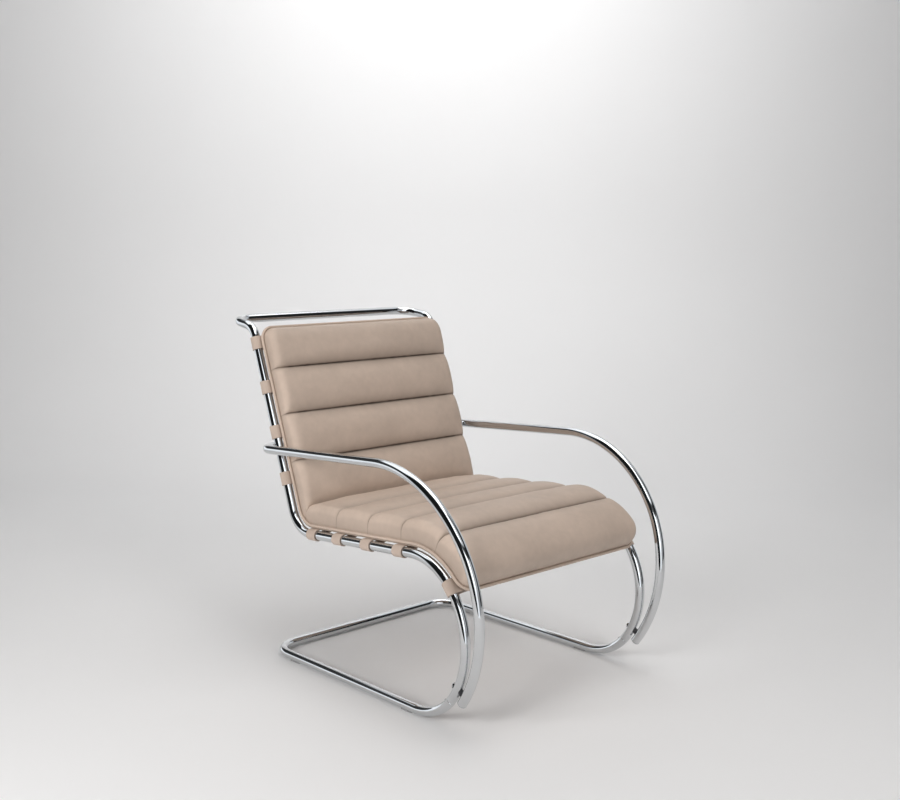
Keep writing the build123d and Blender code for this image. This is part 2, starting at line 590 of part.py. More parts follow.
def cut_trail(point, heading, moves, start, end):
    """The stretch of a trail between two distances along it."""
    kept = []
    at = 0.0
    for length, radius, angle in moves:
        size = length + radius * abs(math.radians(angle))
        low = min(max(start - at, 0.0) / size, 1.0)
        high = min(max(end - at, 0.0) / size, 1.0)
        point, heading = follow(point, heading, (length * low, radius, angle * low))
        if high > low:
            kept.append((length * (high - low), radius, angle * (high - low)))
        at += size
    return point, heading, kept


def pad_point(distance, height, along=0.0):
    """A place over the pad's line: a distance along it, a height above the tube's centreline."""
    start, heading, moves = cut_trail(PAD_START, NOSE_HEADING, PAD_MOVES, 0.0, distance)
    point, heading = trail_end(start, heading, moves)
    return point + toward(heading - 90) * height + toward(heading) * along


BACKING_BASE = STRAP_TOP + LAYER_GAP
PAD_BASE = BACKING_BASE + BACKING_T + LAYER_GAP
WELT_INSET = LAYER_GAP + WELT_R  # from the channels' outline to the welt's centreline
WELT_HALF = PAD_HALF + WELT_INSET
WELT_CORNER_R = PLAN_CORNER_R + WELT_INSET
WELT_HEIGHT = BACKING_BASE + BACKING_T + LAYER_GAP + WELT_R

with BuildPart() as cushion_backing:
    backing_moves = [run(NOSE_FLAT + WELT_INSET), *PAD_MOVES[1:4], run(BACK_TOP_AT + WELT_INSET)]
    backing_start = PAD_START - toward(NOSE_HEADING) * WELT_INSET
    backing_middle = BACKING_BASE + BACKING_T / 2
    with BuildSketch(Plane.YZ):
        with BuildLine() as backing_line:
            draw_trail(Plane.XY, *lifted(backing_start, NOSE_HEADING, backing_moves, backing_middle))
        trace(backing_line.line, line_width=BACKING_T)
    extrude(amount=WELT_HALF, both=True)
    across = cushion_backing.edges().filter_by(GeomType.LINE).filter_by(Axis.X, reverse=True)
    short = across.filter_by(lambda edge: edge.length < 2 * BACKING_T)
    for end_edges in (short.sort_by(Axis.Z)[-2:], short.sort_by(Axis.Z)[:2]):
        fillet(end_edges, WELT_CORNER_R)
cushion_backing.part.label = "cushion_backing"

with BuildPart() as cushion_welt:
    with BuildLine() as welt_line:
        side_start = PAD_START + toward(NOSE_HEADING) * PLAN_CORNER_R
        side_moves = [run(NOSE_FLAT - PLAN_CORNER_R), *PAD_MOVES[1:4], run(BACK_TOP_AT - PLAN_CORNER_R)]
        lifted_side = lifted(side_start, NOSE_HEADING, side_moves, WELT_HEIGHT)
        side_end, _ = draw_trail(Plane.YZ.offset(WELT_HALF), *lifted_side)
        for end, outwards in (
            (lifted_side[0], in_space(toward(NOSE_HEADING) * -1)),
            (side_end, UPRIGHT),
        ):
            side_point = Vector(WELT_HALF, end.X, end.Y)
            corner_end = draw_corner(side_point, outwards, Vector(-1, 0, 0), WELT_CORNER_R)
            Line(corner_end, Vector(0, corner_end.Y, corner_end.Z))
    welt_path = welt_line.wire()
    with BuildSketch(welt_path ^ 0):
        Circle(WELT_R)
    sweep(path=welt_path)
    mirror(about=Plane.YZ)
cushion_welt.part.label = "cushion_welt"

# ---------------------------------------------------------------- channels of the pad
SEAT_TO = SEAT_FROM + SEAT_RUN
NOSE_ROUND_AT = END_RUN
TOP_ROUND_AT = PAD_LENGTH - END_RUN
SEAT_SEAMS = [SEAT_TO - distance for distance in SEAT_SEAMS_AT]
BACK_SEAMS = [BACK_FROM + distance for distance in BACK_SEAMS_AT]

# The crease lies where the seat's and the back's valleys meet.
SEAT_NORMAL = toward(SEAT_HEADING - 90)
BACK_NORMAL = toward(BACK_HEADING - 90)
ABOVE_SEAT = SEAT_REAR.dot(SEAT_NORMAL) + SEAT_VALLEY
AHEAD_OF_BACK = BACK_FOOT.dot(BACK_NORMAL) + BACK_VALLEY
CROSS = SEAT_NORMAL.X * BACK_NORMAL.Y - SEAT_NORMAL.Y * BACK_NORMAL.X
CREASE = Vector(
    (ABOVE_SEAT * BACK_NORMAL.Y - AHEAD_OF_BACK * SEAT_NORMAL.Y) / CROSS,
    (AHEAD_OF_BACK * SEAT_NORMAL.X - ABOVE_SEAT * BACK_NORMAL.X) / CROSS,
)


def round_end(end_at, inwards, crest):
    """The rounded end of the first or last channel, from its edge to where its top begins."""
    shoulder = crest - END_DROP
    middle_height = EDGE_HEIGHT + (shoulder - EDGE_HEIGHT) * END_FULLNESS
    middle_at = end_at + inwards * END_RUN * (1 - END_FULLNESS)
    return [(end_at, EDGE_HEIGHT), (middle_at, middle_height), (end_at + inwards * END_RUN, shoulder)]


def channel_tops():
    """Each channel's top as (distance, height) at its ends and at the crests between them."""
    nose_seam = (NOSE_SEAM_AT, SEAT_VALLEY)
    nose_crest = ((NOSE_ROUND_AT + NOSE_SEAM_AT) / 2, NOSE_CREST)
    tops = [[*round_end(0.0, 1, NOSE_CREST), nose_crest, nose_seam]]
    seat_marks = [NOSE_SEAM_AT, *SEAT_SEAMS, SEAT_TO]
    for start, end in zip(seat_marks, seat_marks[1:]):
        foot = FOLD_AT if end == SEAT_TO else end
        tops.append([(start, SEAT_VALLEY), ((start + end) / 2, SEAT_CREST), (foot, SEAT_VALLEY)])
    back_marks = [BACK_FROM, *BACK_SEAMS]
    for start, end in zip(back_marks, back_marks[1:]):
        foot = FOLD_AT if start == BACK_FROM else start
        tops.append([(foot, BACK_VALLEY), ((start + end) / 2, BACK_CREST), (end, BACK_VALLEY)])
    top_crest = ((back_marks[-1] + TOP_ROUND_AT) / 2, BACK_CREST)
    top_round = reversed(round_end(PAD_LENGTH, -1, BACK_CREST))
    tops.append([(back_marks[-1], BACK_VALLEY), top_crest, *top_round])
    return tops


def stations(inset):
    """Distances from the middle, each with the share of the height there and the corner's recess."""
    half = PAD_HALF - inset
    corner = PLAN_CORNER_R - inset
    found = [(0.0, 1 + CROWN_SHARE, 0.0)]
    for step in SHOULDER_STEPS:
        x = half - SHOULDER * (1 - step)
        rise = (1 - step**SHOULDER_POWER) ** (1 / SHOULDER_POWER)
        recess = corner - math.sqrt(corner**2 - max(x - half + corner, 0.0) ** 2)
        found.append((x, EDGE_SHARE + (1 - EDGE_SHARE) * rise, recess))
    mirrored = [(-x, share, recess) for x, share, recess in reversed(found[1:])]
    return mirrored + found


def draw_channel(top, share, recess, inset):
    """Draw the outline of a channel across the pad, inside an open BuildLine."""
    last = len(top) - 1
    points = []
    for number, (distance, height) in enumerate(top):
        if distance <= NOSE_ROUND_AT:
            distance += recess
        if distance >= TOP_ROUND_AT:
            distance -= recess
        along = inset * ((number == 0) - (number == last))
        edge = pad_point(distance, EDGE_HEIGHT - inset, along)
        full = pad_point(distance, height - inset, along)
        if distance == FOLD_AT:
            shift = pad_point(FOLD_AT, 0, along) - pad_point(FOLD_AT, 0)
            full = CREASE - (full - edge).normalized() * inset + shift
        points.append(edge + (full - edge) * share)
    ends = []
    floor = PAD_BASE + inset
    for distance, inwards in (
        (max(top[0][0], recess), 1),
        (min(top[last][0], PAD_LENGTH - recess), -1),
    ):
        rate = (pad_point(distance + inwards, floor) - pad_point(distance, floor)).length
        ends.append(distance + inwards * inset / rate)
    base = lifted(*cut_trail(PAD_START, NOSE_HEADING, PAD_MOVES, *ends), floor)
    base_end, _ = draw_trail(Plane.XY, *base)
    Line(base_end, points[-1])
    for first in range(last - 2, -1, -2):
        ThreePointArc(points[first + 2], points[first + 1], points[first])
    Line(points[0], base[0])


CHANNEL_TOPS = channel_tops()
CHANNEL_NAMES = [f"seat_core_{number}" for number in range(1, 6)]
CHANNEL_NAMES += [f"back_core_{number}" for number in range(1, 5)]

with BuildPart() as cushion_cover:
    for top in CHANNEL_TOPS:
        for x, share, recess in stations(0.0):
            with BuildSketch(Plane.YZ.offset(x)):
                with BuildLine():
                    draw_channel(top, share, recess, 0.0)
                make_face()
        loft(ruled=True)
    for top in CHANNEL_TOPS:
        for x, share, recess in stations(LEATHER_T):
            with BuildSketch(Plane.YZ.offset(x)):
                with BuildLine():
                    draw_channel(top, share, recess, LEATHER_T)
                make_face()
        loft(ruled=True, mode=Mode.SUBTRACT)
cushion_cover.part.label = "cushion_cover"

CORE_INSET = LEATHER_T + CORE_FIT
for name, top in zip(CHANNEL_NAMES, CHANNEL_TOPS):
    with BuildPart() as core:
        for x, share, recess in stations(CORE_INSET):
            with BuildSketch(Plane.YZ.offset(x)):
                with BuildLine():
                    draw_channel(top, share, recess, CORE_INSET)
                make_face()
        loft(ruled=True)
    core.part.label = name
    export_step(core.part, f"parts/{name}.step")

# ---------------------------------------------------------------- the written parts
PAIRED = {
    "frame_spigot": frame_spigot,
    "arm_end_plug": arm_end_plug,
    "foot_spacer": foot_spacer,
    "foot_washer": foot_washer,
    "foot_bolt": foot_bolt,
    "rear_saddle": rear_saddle,
}
for name, piece in PAIRED.items():
    piece.part.label = f"{name}_right"
    export_step(piece.part, f"parts/{name}_right.step")
    with BuildPart() as twin:
        add(piece.part)
        mirror(about=Plane.YZ, mode=Mode.REPLACE)
    twin.part.label = f"{name}_left"
    export_step(twin.part, f"parts/{name}_left.step")

for end, y in GLIDE_CENTRES.items():
    for side, sign in SIDES.items():
        with BuildPart() as placed_glide:
            with Locations((sign * FRAME_HALF, y, 0)):
                add(floor_glide.part)
        placed_glide.part.label = f"floor_glide_{end}_{side}"
        export_step(placed_glide.part, f"parts/floor_glide_{end}_{side}.step")

SINGLE = [
    base_frame,
    upper_frame,
    arm_loop,
    joint_screws,
    rear_screws,
    strap_rivets,
    cushion_backing,
    cushion_welt,
    cushion_cover,
]
for piece in SINGLE:
    export_step(piece.part, f"parts/{piece.part.label}.step")
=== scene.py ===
"""A cantilever lounge chair of bent tube, leather straps and one channelled pad, on its CAD frame.

Metres, +Z up, the sitter faces -Y. A side view is a trail of runs and bends, as (y, z) points
with a heading: 0 points forwards, 90 up and 180 to the rear.
"""

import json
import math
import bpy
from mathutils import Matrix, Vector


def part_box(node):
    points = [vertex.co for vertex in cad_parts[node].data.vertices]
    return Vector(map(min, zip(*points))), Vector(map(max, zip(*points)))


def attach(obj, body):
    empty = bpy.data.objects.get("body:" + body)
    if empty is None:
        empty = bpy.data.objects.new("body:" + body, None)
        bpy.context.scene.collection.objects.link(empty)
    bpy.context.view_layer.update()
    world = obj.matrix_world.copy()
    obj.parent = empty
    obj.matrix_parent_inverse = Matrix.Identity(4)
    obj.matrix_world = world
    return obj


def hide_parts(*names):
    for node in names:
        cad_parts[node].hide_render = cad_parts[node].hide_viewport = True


bl_info = {
    "name": "Cantilever Lounge Chair",
    "version": (1, 0, 0),
    "blender": (4, 5, 0),
    "location": "View3D > Sidebar > Chair",
    "description": "Builds the tubes, straps, pad and studio of a cantilever lounge chair",
    "category": "Add Mesh",
}

import bmesh
import bpy
import numpy as np
from bpy.props import FloatProperty, FloatVectorProperty, IntProperty, PointerProperty
from mathutils import Vector, noise

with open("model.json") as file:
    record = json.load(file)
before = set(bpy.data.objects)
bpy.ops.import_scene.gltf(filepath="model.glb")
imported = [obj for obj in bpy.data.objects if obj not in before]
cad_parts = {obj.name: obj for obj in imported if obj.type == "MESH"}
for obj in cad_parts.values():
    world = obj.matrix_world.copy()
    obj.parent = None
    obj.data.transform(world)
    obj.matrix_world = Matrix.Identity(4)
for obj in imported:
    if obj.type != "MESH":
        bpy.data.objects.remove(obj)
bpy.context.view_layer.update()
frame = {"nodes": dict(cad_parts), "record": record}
SEAT_CORES = [f"seat_core_{n}" for n in range(1, 6)]
BACK_CORES = [f"back_core_{n}" for n in range(1, 5)]

# The seat's straps and seams, ahead of the seat rail's rear end, and the seams of the back.
SEAT_STRAPS_AHEAD = (0.329, 0.217, 0.112, 0.013)
SEAT_SEAMS_AHEAD = (0.323, 0.2065, 0.090)
BACK_SEAMS_UP = (0.112, 0.228, 0.343)
# Grids of the pad: rows over one channel and columns across, coarse for the cloth pass and fine.
COARSE_ROWS, COARSE_COLUMNS = 23, 97
FINE_ROWS, FINE_COLUMNS = 57, 141
CLOTH_FRAMES = 20
# How square the rounded edges of the pad are: 2 is a circle.
SQUARENESS = 2.7
# How far the painted dark line and the painted soft shade, which stand for the shade in a seam's
# crease, reach from a seam.
SEAM_LINE, SEAM_SHADE = 0.0075, 0.019
INNER_STEEL = (0.50, 0.50, 0.51)
RIVET_STEEL = (0.58, 0.56, 0.52)
FOAM = (0.72, 0.68, 0.52)
ROOM_GREY = (0.60, 0.60, 0.61, 1)
SOFTBOX_TINT = (1.0, 0.985, 0.97)
LENS_SHIFT = (-0.00502, 0.02272)


# ---------------------------------------------------------------- sizes and colours
def length(name, description, default):
    return FloatProperty(
        name=name, description=description, default=default, precision=4, unit="LENGTH"
    )


def angle(name, description, degrees):
    return FloatProperty(
        name=name, description=description, default=math.radians(degrees), subtype="ANGLE"
    )


def colour(name, description, default):
    return FloatVectorProperty(
        name=name, description=description, default=default,
        size=3, min=0.0, max=1.0, subtype="COLOR",
    )


class TubeSizes(bpy.types.PropertyGroup):
    tube_diameter: length("Tube diameter", "Outer diameter of every bent tube", 0.022)
    tube_wall: length("Tube wall", "Wall thickness of the tubes", 0.002)
    end_chamfer: length("End chamfer", "Chamfer on each cut tube end", 0.0005)
    frame_width: length("Frame width", "Between the centrelines of the side tubes", 0.582)
    rail_height: length("Rail height", "Centreline of the floor rails above the floor", 0.013)
    rail_length: length("Rail length", "Straight part of a floor rail", 0.482)
    base_corner: length("Base corner", "Bend radius of the floor loop's rear corners", 0.064)
    lower_radius: length("Lower radius", "Bend radius above the floor rail", 0.149)
    lower_bend: angle("Lower bend", "Part of the front curve on the floor loop", 50)
    lower_rest: angle("Lower rest", "Part of that radius above the joint", 4.5)
    middle_radius: length("Middle radius", "Bend radius in the middle of the front curve", 0.193)
    middle_bend: angle("Middle bend", "Bend of the middle of the front curve", 70)
    upper_radius: length("Upper radius", "Bend radius under the seat's front", 0.154)
    seat_slope: angle("Seat slope", "How much the seat falls to the rear", 4)
    seat_run: length("Seat run", "Straight part of a seat rail", 0.364)
    back_radius: length("Back radius", "Bend radius between seat and back", 0.071)
    back_lean: angle("Back lean", "How far the uprights lean back", 19.2)
    back_run: length("Back run", "Straight part of an upright", 0.436)
    hook_radius: length("Hook radius", "Bend radius at the top of the uprights", 0.044)
    hook_bend: angle("Hook bend", "Bend at the top of the uprights", 63)
    hook_run: length("Hook run", "Straight part behind the top bend", 0.019)
    top_corner: length("Top corner", "Bend radius of the top bar's corners", 0.05)
    arm_foot_ahead: length("Arm foot ahead", "From rail end to the arm's cut end", 0.1475)
    arm_foot_height: length("Arm foot height", "Height of the arm's cut end", 0.068)
    arm_foot_heading: angle("Arm foot heading", "Heading of the arm at its cut end", 54)
    arm_lower_radius: length("Arm lower radius", "Lower bend radius of the arm", 0.317)
    arm_lower_bend: angle("Arm lower bend", "Lower bend of the arm", 50)
    arm_upper_radius: length("Arm upper radius", "Upper bend radius of the arm", 0.294)
    arm_slope: angle("Arm slope", "How much the arm falls to the rear", 3.3)
    arm_past_upright: length("Arm past upright", "Straight part behind the upright", 0.0038)
    arm_corner: length("Arm corner", "Bend radius of the arm loop's rear corners", 0.05)
    arm_gap: length("Arm gap", "Least gap between arm and upright", 0.0015)
    sides: IntProperty(name="Sides", description="Faces round a tube", default=40, min=12)


class StrapSizes(bpy.types.PropertyGroup):
    thickness: length("Thickness", "Thickness of the strap leather", 0.0026)
    width: length("Width", "Width of a strap", 0.032)
    tube_fit: length("Tube fit", "Gap between leather and tube", 0.0003)
    return_angle: angle("Return angle", "Angle past half a turn where the end leaves the tube", 25)
    lap_radius: length("Lap radius", "Bend radius where the end meets the strap", 0.012)
    lap: length("Lap", "Length of the lap", 0.034)
    edge_round: length("Edge round", "Rounding of the cut edges", 0.0008)
    below_arm: length("Below arm", "From a strap's middle up to the arm's crossing", 0.075)
    above_arm: length("Above arm", "From the arm's crossing up to a strap's middle", 0.041)
    below_hook: length("Below hook", "From the top strap's middle to the top bend", 0.016)
    nose_angle: angle("Nose angle", "Place of the front strap round the front curve", 48.5)
    rivet_from_end: length("Rivet from end", "From the strap's cut end to its rivet", 0.012)
    rivet_head: length("Rivet head", "Radius of a rivet head", 0.0045)


class PadSizes(bpy.types.PropertyGroup):
    half_width: length("Half width", "Half width of the channels, inside the welt", 0.2834)
    shoulder: length("Shoulder", "Width over which the sides are drawn in", 0.026)
    corner: length("Corner", "Corner radius in plan", 0.03)
    base: length("Base", "Height of the cover's underside over the tube's centreline", 0.017)
    edge: length("Edge", "Height of the channels at the welt", 0.022)
    back_valley: length("Back valley", "Seam height on the back", 0.038)
    back_crest: length("Back crest", "Crest height on the back", 0.054)
    seat_valley: length("Seat valley", "Seam height on the seat", 0.056)
    seat_crest: length("Seat crest", "Crest height on the seat", 0.071)
    nose_crest: length("Nose crest", "Crest height of the front roll", 0.072)
    nose_flat: length("Nose flat", "Straight end of the pad at the front", 0.034)
    nose_angle: angle("Nose angle", "Where the pad leaves the front curve", 44)
    nose_seam: angle("Nose seam", "Place of the first seam round the front curve", 19)
    back_top: length("Back top", "Top of the pad, up the upright from the seat bend", 0.450)
    welt_radius: length("Welt radius", "Radius of the welt", 0.0033)
    layer_gap: length("Layer gap", "Gap between the layers", 0.0003)
    backing: length("Backing", "Thickness of the backing leather", 0.0025)
    backing_base: length("Backing base", "Backing's underside over the tube's centreline", 0.0142)
    pressure: FloatProperty(
        name="Pressure", description="Filling pressure of the cloth pass", default=4.0
    )
    swell: length("Swell", "Most that the cloth pass may move the leather", 0.006)


class Finishes(bpy.types.PropertyGroup):
    chrome: colour("Chrome", "Reflected colour of the polished tube", (0.66, 0.67, 0.68))
    leather: colour("Leather", "Colour of the pad", (0.59, 0.475, 0.395))
    strap: colour("Strap", "Colour of the straps", (0.63, 0.51, 0.43))
    backing: colour("Backing", "Colour of the backing", (0.42, 0.34, 0.285))
    dark: colour("Dark plastic", "Colour of the spacers", (0.035, 0.035, 0.038))
    glide: colour("Glide plastic", "Colour of the floor glides", (0.32, 0.32, 0.32))
    floor: colour("Floor", "Colour of the floor and wall", (0.90, 0.90, 0.905))


class CameraSizes(bpy.types.PropertyGroup):
    azimuth: angle("Azimuth", "Turn of the camera round the chair", -43.1196)
    elevation: angle("Elevation", "Height angle of the camera", 8.7107)
    distance: length("Distance", "From the camera to the point it looks at", 2.82136)
    target: FloatVectorProperty(
        name="Target",
        description="Point the camera looks at",
        default=(-0.023945, -0.082655, 0.609375),
        size=3,
        subtype="XYZ",
        unit="LENGTH",
    )
    lens: FloatProperty(name="Lens", description="Focal length in millimetres", default=47.462)


# ---------------------------------------------------------------- trails in the side view
def toward(heading):
    """Unit vector of a heading in the side view."""
    return Vector((-math.cos(heading), math.sin(heading)))


def run(distance):
    return (distance, 0.0, 0.0)


def bend(radius, turn):
    return (0.0, radius, turn)


def follow(point, heading, move):
    """End point and heading after one run or bend."""
    distance, radius, turn = move
    if not turn:
        return point + toward(heading) * distance, heading
    side = math.copysign(math.pi / 2, turn)
    centre = point + toward(heading + side) * radius
    return centre - toward(heading + turn + side) * radius, heading + turn


def trail_end(point, heading, moves):
    for move in moves:
        point, heading = follow(point, heading, move)
    return point, heading


def move_size(move):
    return move[0] + move[1] * abs(move[2])


def part_of(move, part):
    return (move[0] * part, move[1], move[2] * part)


def along_trail(point, heading, moves, distance):
    """Point and heading at a distance along a trail; outside it the trail goes on straight."""
    if distance < 0:
        return point + toward(heading) * distance, heading
    for move in moves:
        size = move_size(move)
        if distance <= size:
            return follow(point, heading, part_of(move, distance / size))
        point, heading = follow(point, heading, move)
        distance -= size
    return point + toward(heading) * distance, heading


def trail_points(point, heading, moves, step=math.radians(1.5)):
    """The trail as points close enough for a smooth tube, with the heading at each."""
    found = [(point.copy(), heading)]
    for move in moves:
        count = max(1, math.ceil(abs(move[2]) / step))
        for number in range(1, count + 1):
            found.append(follow(point, heading, part_of(move, number / count)))
        point, heading = found[-1]
    return found


def meeting(point, heading, other, other_heading):
    """How far along one line in the side view another line crosses it."""
    gap = other - point
    one, two = toward(heading), toward(other_heading)
    return (gap.x * two.y - gap.y * two.x) / (one.x * two.y - one.y * two.x)


class SideView:
    """Places along the side of frame, arms and pad, worked out from the sizes."""

    def __init__(self, tube, pad):
        quarter = math.pi / 2
        self.tube_r = tube.tube_diameter / 2
        self.half = tube.frame_width / 2
        upper_bend = (
            2 * quarter + tube.seat_slope - tube.lower_bend - tube.lower_rest - tube.middle_bend
        )
        back_bend = -(quarter + tube.seat_slope - tube.back_lean)
        self.base_moves = [run(tube.rail_length), bend(tube.lower_radius, tube.lower_bend)]
        self.curve_moves = [
            bend(tube.lower_radius, tube.lower_rest),
            bend(tube.middle_radius, tube.middle_bend),
            bend(tube.upper_radius, upper_bend),
        ]
        self.seat_moves = [run(tube.seat_run), bend(tube.back_radius, back_bend)]
        self.back_moves = [
            run(tube.back_run),
            bend(tube.hook_radius, tube.hook_bend),
            run(tube.hook_run),
        ]
        # The floor loop of the CAD frame says where the rails end behind.
        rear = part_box("base_frame")[1].y - tube.base_corner - self.tube_r
        self.rail_rear = Vector((rear, tube.rail_height))
        rail_front = Vector((rear - tube.rail_length, tube.rail_height))
        self.joint, self.joint_heading = trail_end(self.rail_rear, 0.0, self.base_moves)
        self.seat_front, self.seat_heading = trail_end(
            self.joint, self.joint_heading, self.curve_moves
        )
        self.seat_rear = self.seat_front + toward(self.seat_heading) * tube.seat_run
        self.back_foot, self.back_heading = trail_end(
            self.seat_front, self.seat_heading, self.seat_moves
        )
        to_centre = toward(self.seat_heading + quarter)
        self.upper_centre = self.seat_front + to_centre * tube.upper_radius

        arm_bend = 2 * quarter + tube.arm_slope - tube.arm_foot_heading - tube.arm_lower_bend
        self.arm_foot = Vector((rail_front.x - tube.arm_foot_ahead, tube.arm_foot_height))
        self.arm_heading = tube.arm_foot_heading
        front = [
            bend(tube.arm_lower_radius, tube.arm_lower_bend),
            bend(tube.arm_upper_radius, arm_bend),
        ]
        knee, knee_heading = trail_end(self.arm_foot, self.arm_heading, front)
        to_upright = meeting(knee, knee_heading, self.back_foot, self.back_heading)
        self.crossing_at = meeting(self.back_foot, self.back_heading, knee, knee_heading)
        self.arm_moves = [*front, run(to_upright + tube.arm_past_upright)]
        arm_rear, _ = trail_end(self.arm_foot, self.arm_heading, self.arm_moves)
        spread = tube.tube_diameter + tube.arm_gap
        self.arm_lean = math.asin(spread / (arm_rear.y - self.arm_foot.y))

        self.nose_heading = 2 * quarter - pad.nose_angle
        flat_end = self.upper_centre - toward(self.nose_heading + quarter) * tube.upper_radius
        self.pad_start = flat_end - toward(self.nose_heading) * pad.nose_flat
        self.pad_moves = [
            run(pad.nose_flat),
            bend(tube.upper_radius, self.seat_heading - self.nose_heading),
            run(tube.seat_run),
            bend(tube.back_radius, back_bend),
            run(pad.back_top),
        ]
        self.seat_from = pad.nose_flat + move_size(self.pad_moves[1])
        self.seat_to = self.seat_from + tube.seat_run
        self.back_from = self.seat_to + move_size(self.pad_moves[3])
        self.fold_at = (self.seat_to + self.back_from) / 2
        self.pad_length = self.back_from + pad.back_top
        self.nose_seam = pad.nose_flat + tube.upper_radius * (pad.nose_angle - pad.nose_seam)

    def on_side(self, point):
        """A side-view point on the centreline of the side tube at -X."""
        return Vector((-self.half, point.x, point.y))

    def on_arm(self, point):
        """A side-view point of the arm, which leans outwards from its foot."""
        rise = point.y - self.arm_foot.y
        return Vector(
            (
                -self.half - rise * math.sin(self.arm_lean),
                point.x,
                self.arm_foot.y + rise * math.cos(self.arm_lean),
            )
        )

    def over_pad(self, distance, height):
        """A place over the pad's line: distance along it, height above the tube's centreline."""
        point, heading = along_trail(self.pad_start, self.nose_heading, self.pad_moves, distance)
        return point + toward(heading - math.pi / 2) * height


def settings():
    return bpy.context.scene.lounge_chair


def side_view():
    return SideView(settings().tube, settings().pad)


# ---------------------------------------------------------------- paths in space
def corner_points(start, incoming, outgoing, radius, step=math.radians(2)):
    """The points of a bend in space from one direction to another."""
    incoming, outgoing = incoming.normalized(), outgoing.normalized()
    across = (outgoing - incoming * outgoing.dot(incoming)).normalized()
    turn = incoming.angle(outgoing)
    count = max(2, math.ceil(turn / step))
    angles = [turn * number / count for number in range(1, count + 1)]
    return [
        start + incoming * radius * math.sin(a) + across * radius * (1 - math.cos(a))
        for a in angles
    ]


def mirrored_loop(half_path):
    """A path from a cut end to the middle plane and on to the mirrored end."""
    other = [Vector((-p.x, p.y, p.z)) for p in reversed(half_path[:-1])]
    return [*half_path, *other]


def to_middle(path, radius):
    """Carry a path that comes in along the side round a corner to the middle plane."""
    turned = corner_points(path[-1], path[-1] - path[-2], Vector((1, 0, 0)), radius)
    path = [*path, *turned]
    return mirrored_loop([*path, Vector((0, path[-1].y, path[-1].z))])


# ---------------------------------------------------------------- meshes and node trees
def new_mesh(name, points, faces=(), edges=()):
    mesh = bpy.data.meshes.new(name)
    mesh.from_pydata([tuple(p) for p in points], list(edges), [tuple(f) for f in faces])
    mesh.update()
    obj = bpy.data.objects.new(name, mesh)
    bpy.context.scene.collection.objects.link(obj)
    return obj


def put_float(mesh, name, values):
    attribute = mesh.attributes.new(name, "FLOAT", "POINT")
    attribute.data.foreach_set("value", np.asarray(values, np.float32))


def socket(tree, name, kind, default=None, out=False):
    made = tree.interface.new_socket(name, in_out="OUTPUT" if out else "INPUT", socket_type=kind)
    if default is not None:
        made.default_value = default
    return made


def add_node(tree, kind, place, **inputs):
    """A node at a place, with inputs set by name: underscores stand for spaces."""
    node = tree.nodes.new(kind)
    node.location = (place[0] * 180, -place[1] * 160)
    for name, value in inputs.items():
        node.inputs[name.replace("_", " ")].default_value = value
    return node


def use_tree(obj, tree, **values):
    """Put a node tree on an object, set its inputs by name and keep the result as a plain mesh."""
    modifier = obj.modifiers.new(tree.name, "NODES")
    modifier.node_group = tree
    for item in tree.interface.items_tree:
        if item.item_type == "SOCKET" and item.in_out == "INPUT" and item.name in values:
            modifier[item.identifier] = values[item.name]
    bpy.context.view_layer.update()
    depsgraph = bpy.context.evaluated_depsgraph_get()
    made = bpy.data.meshes.new_from_object(obj.evaluated_get(depsgraph), depsgraph=depsgraph)
    obj.modifiers.clear()
    obj.data = made
    return obj


def tube_tree():
    """Sweep a round section along a line of edges, with its girth read from the line."""
    name = "Round tube along a path"
    if name in bpy.data.node_groups:
        return bpy.data.node_groups[name]
    tree = bpy.data.node_groups.new(name, "GeometryNodeTree")
    socket(tree, "Path", "NodeSocketGeometry")
    socket(tree, "Radius", "NodeSocketFloat", 0.011)
    socket(tree, "Sides", "NodeSocketInt", 40)
    socket(tree, "Finish", "NodeSocketMaterial")
    socket(tree, "Tube", "NodeSocketGeometry", out=True)
    start = add_node(tree, "NodeGroupInput", (0, 0))
    line = add_node(tree, "GeometryNodeMeshToCurve", (1, 0))
    girth = add_node(tree, "GeometryNodeInputNamedAttribute", (1, 1), Name="girth")
    widen = add_node(tree, "GeometryNodeSetCurveRadius", (2, 0))
    section = add_node(tree, "GeometryNodeCurvePrimitiveCircle", (2, 1))
    sweep = add_node(tree, "GeometryNodeCurveToMesh", (3, 0))
    smooth = add_node(tree, "GeometryNodeSetShadeSmooth", (4, 0))
    real = add_node(tree, "GeometryNodeRealizeInstances", (5, 0))
    finish = add_node(tree, "GeometryNodeSetMaterial", (6, 0))
    end = add_node(tree, "NodeGroupOutput", (7, 0))
    link = tree.links.new
    link(start.outputs["Path"], line.inputs["Mesh"])
    link(line.outputs["Curve"], widen.inputs["Curve"])
    link(girth.outputs["Attribute"], widen.inputs["Radius"])
    link(start.outputs["Sides"], section.inputs["Resolution"])
    link(start.outputs["Radius"], section.inputs["Radius"])
    link(widen.outputs["Curve"], sweep.inputs["Curve"])
    link(section.outputs["Curve"], sweep.inputs["Profile Curve"])
    if "Scale" in sweep.inputs:
        link(girth.outputs["Attribute"], sweep.inputs["Scale"])
    link(sweep.outputs["Mesh"], smooth.inputs["Geometry"])
    link(smooth.outputs["Geometry"], real.inputs["Geometry"])
    link(real.outputs["Geometry"], finish.inputs["Geometry"])
    link(start.outputs["Finish"], finish.inputs["Material"])
    link(finish.outputs["Geometry"], end.inputs["Tube"])
    return tree


def swept_tube(name, path, girths, radius, sides, finish, closed=False):
    edges = [(n, n + 1) for n in range(len(path) - 1)]
    if closed:
        edges.append((len(path) - 1, 0))
    obj = new_mesh(name, path, edges=edges)
    put_float(obj.data, "girth", girths)
    use_tree(obj, tube_tree(), Radius=radius, Sides=sides, Finish=finish)
    obj.data.set_sharp_from_angle(angle=math.radians(35))
    return obj


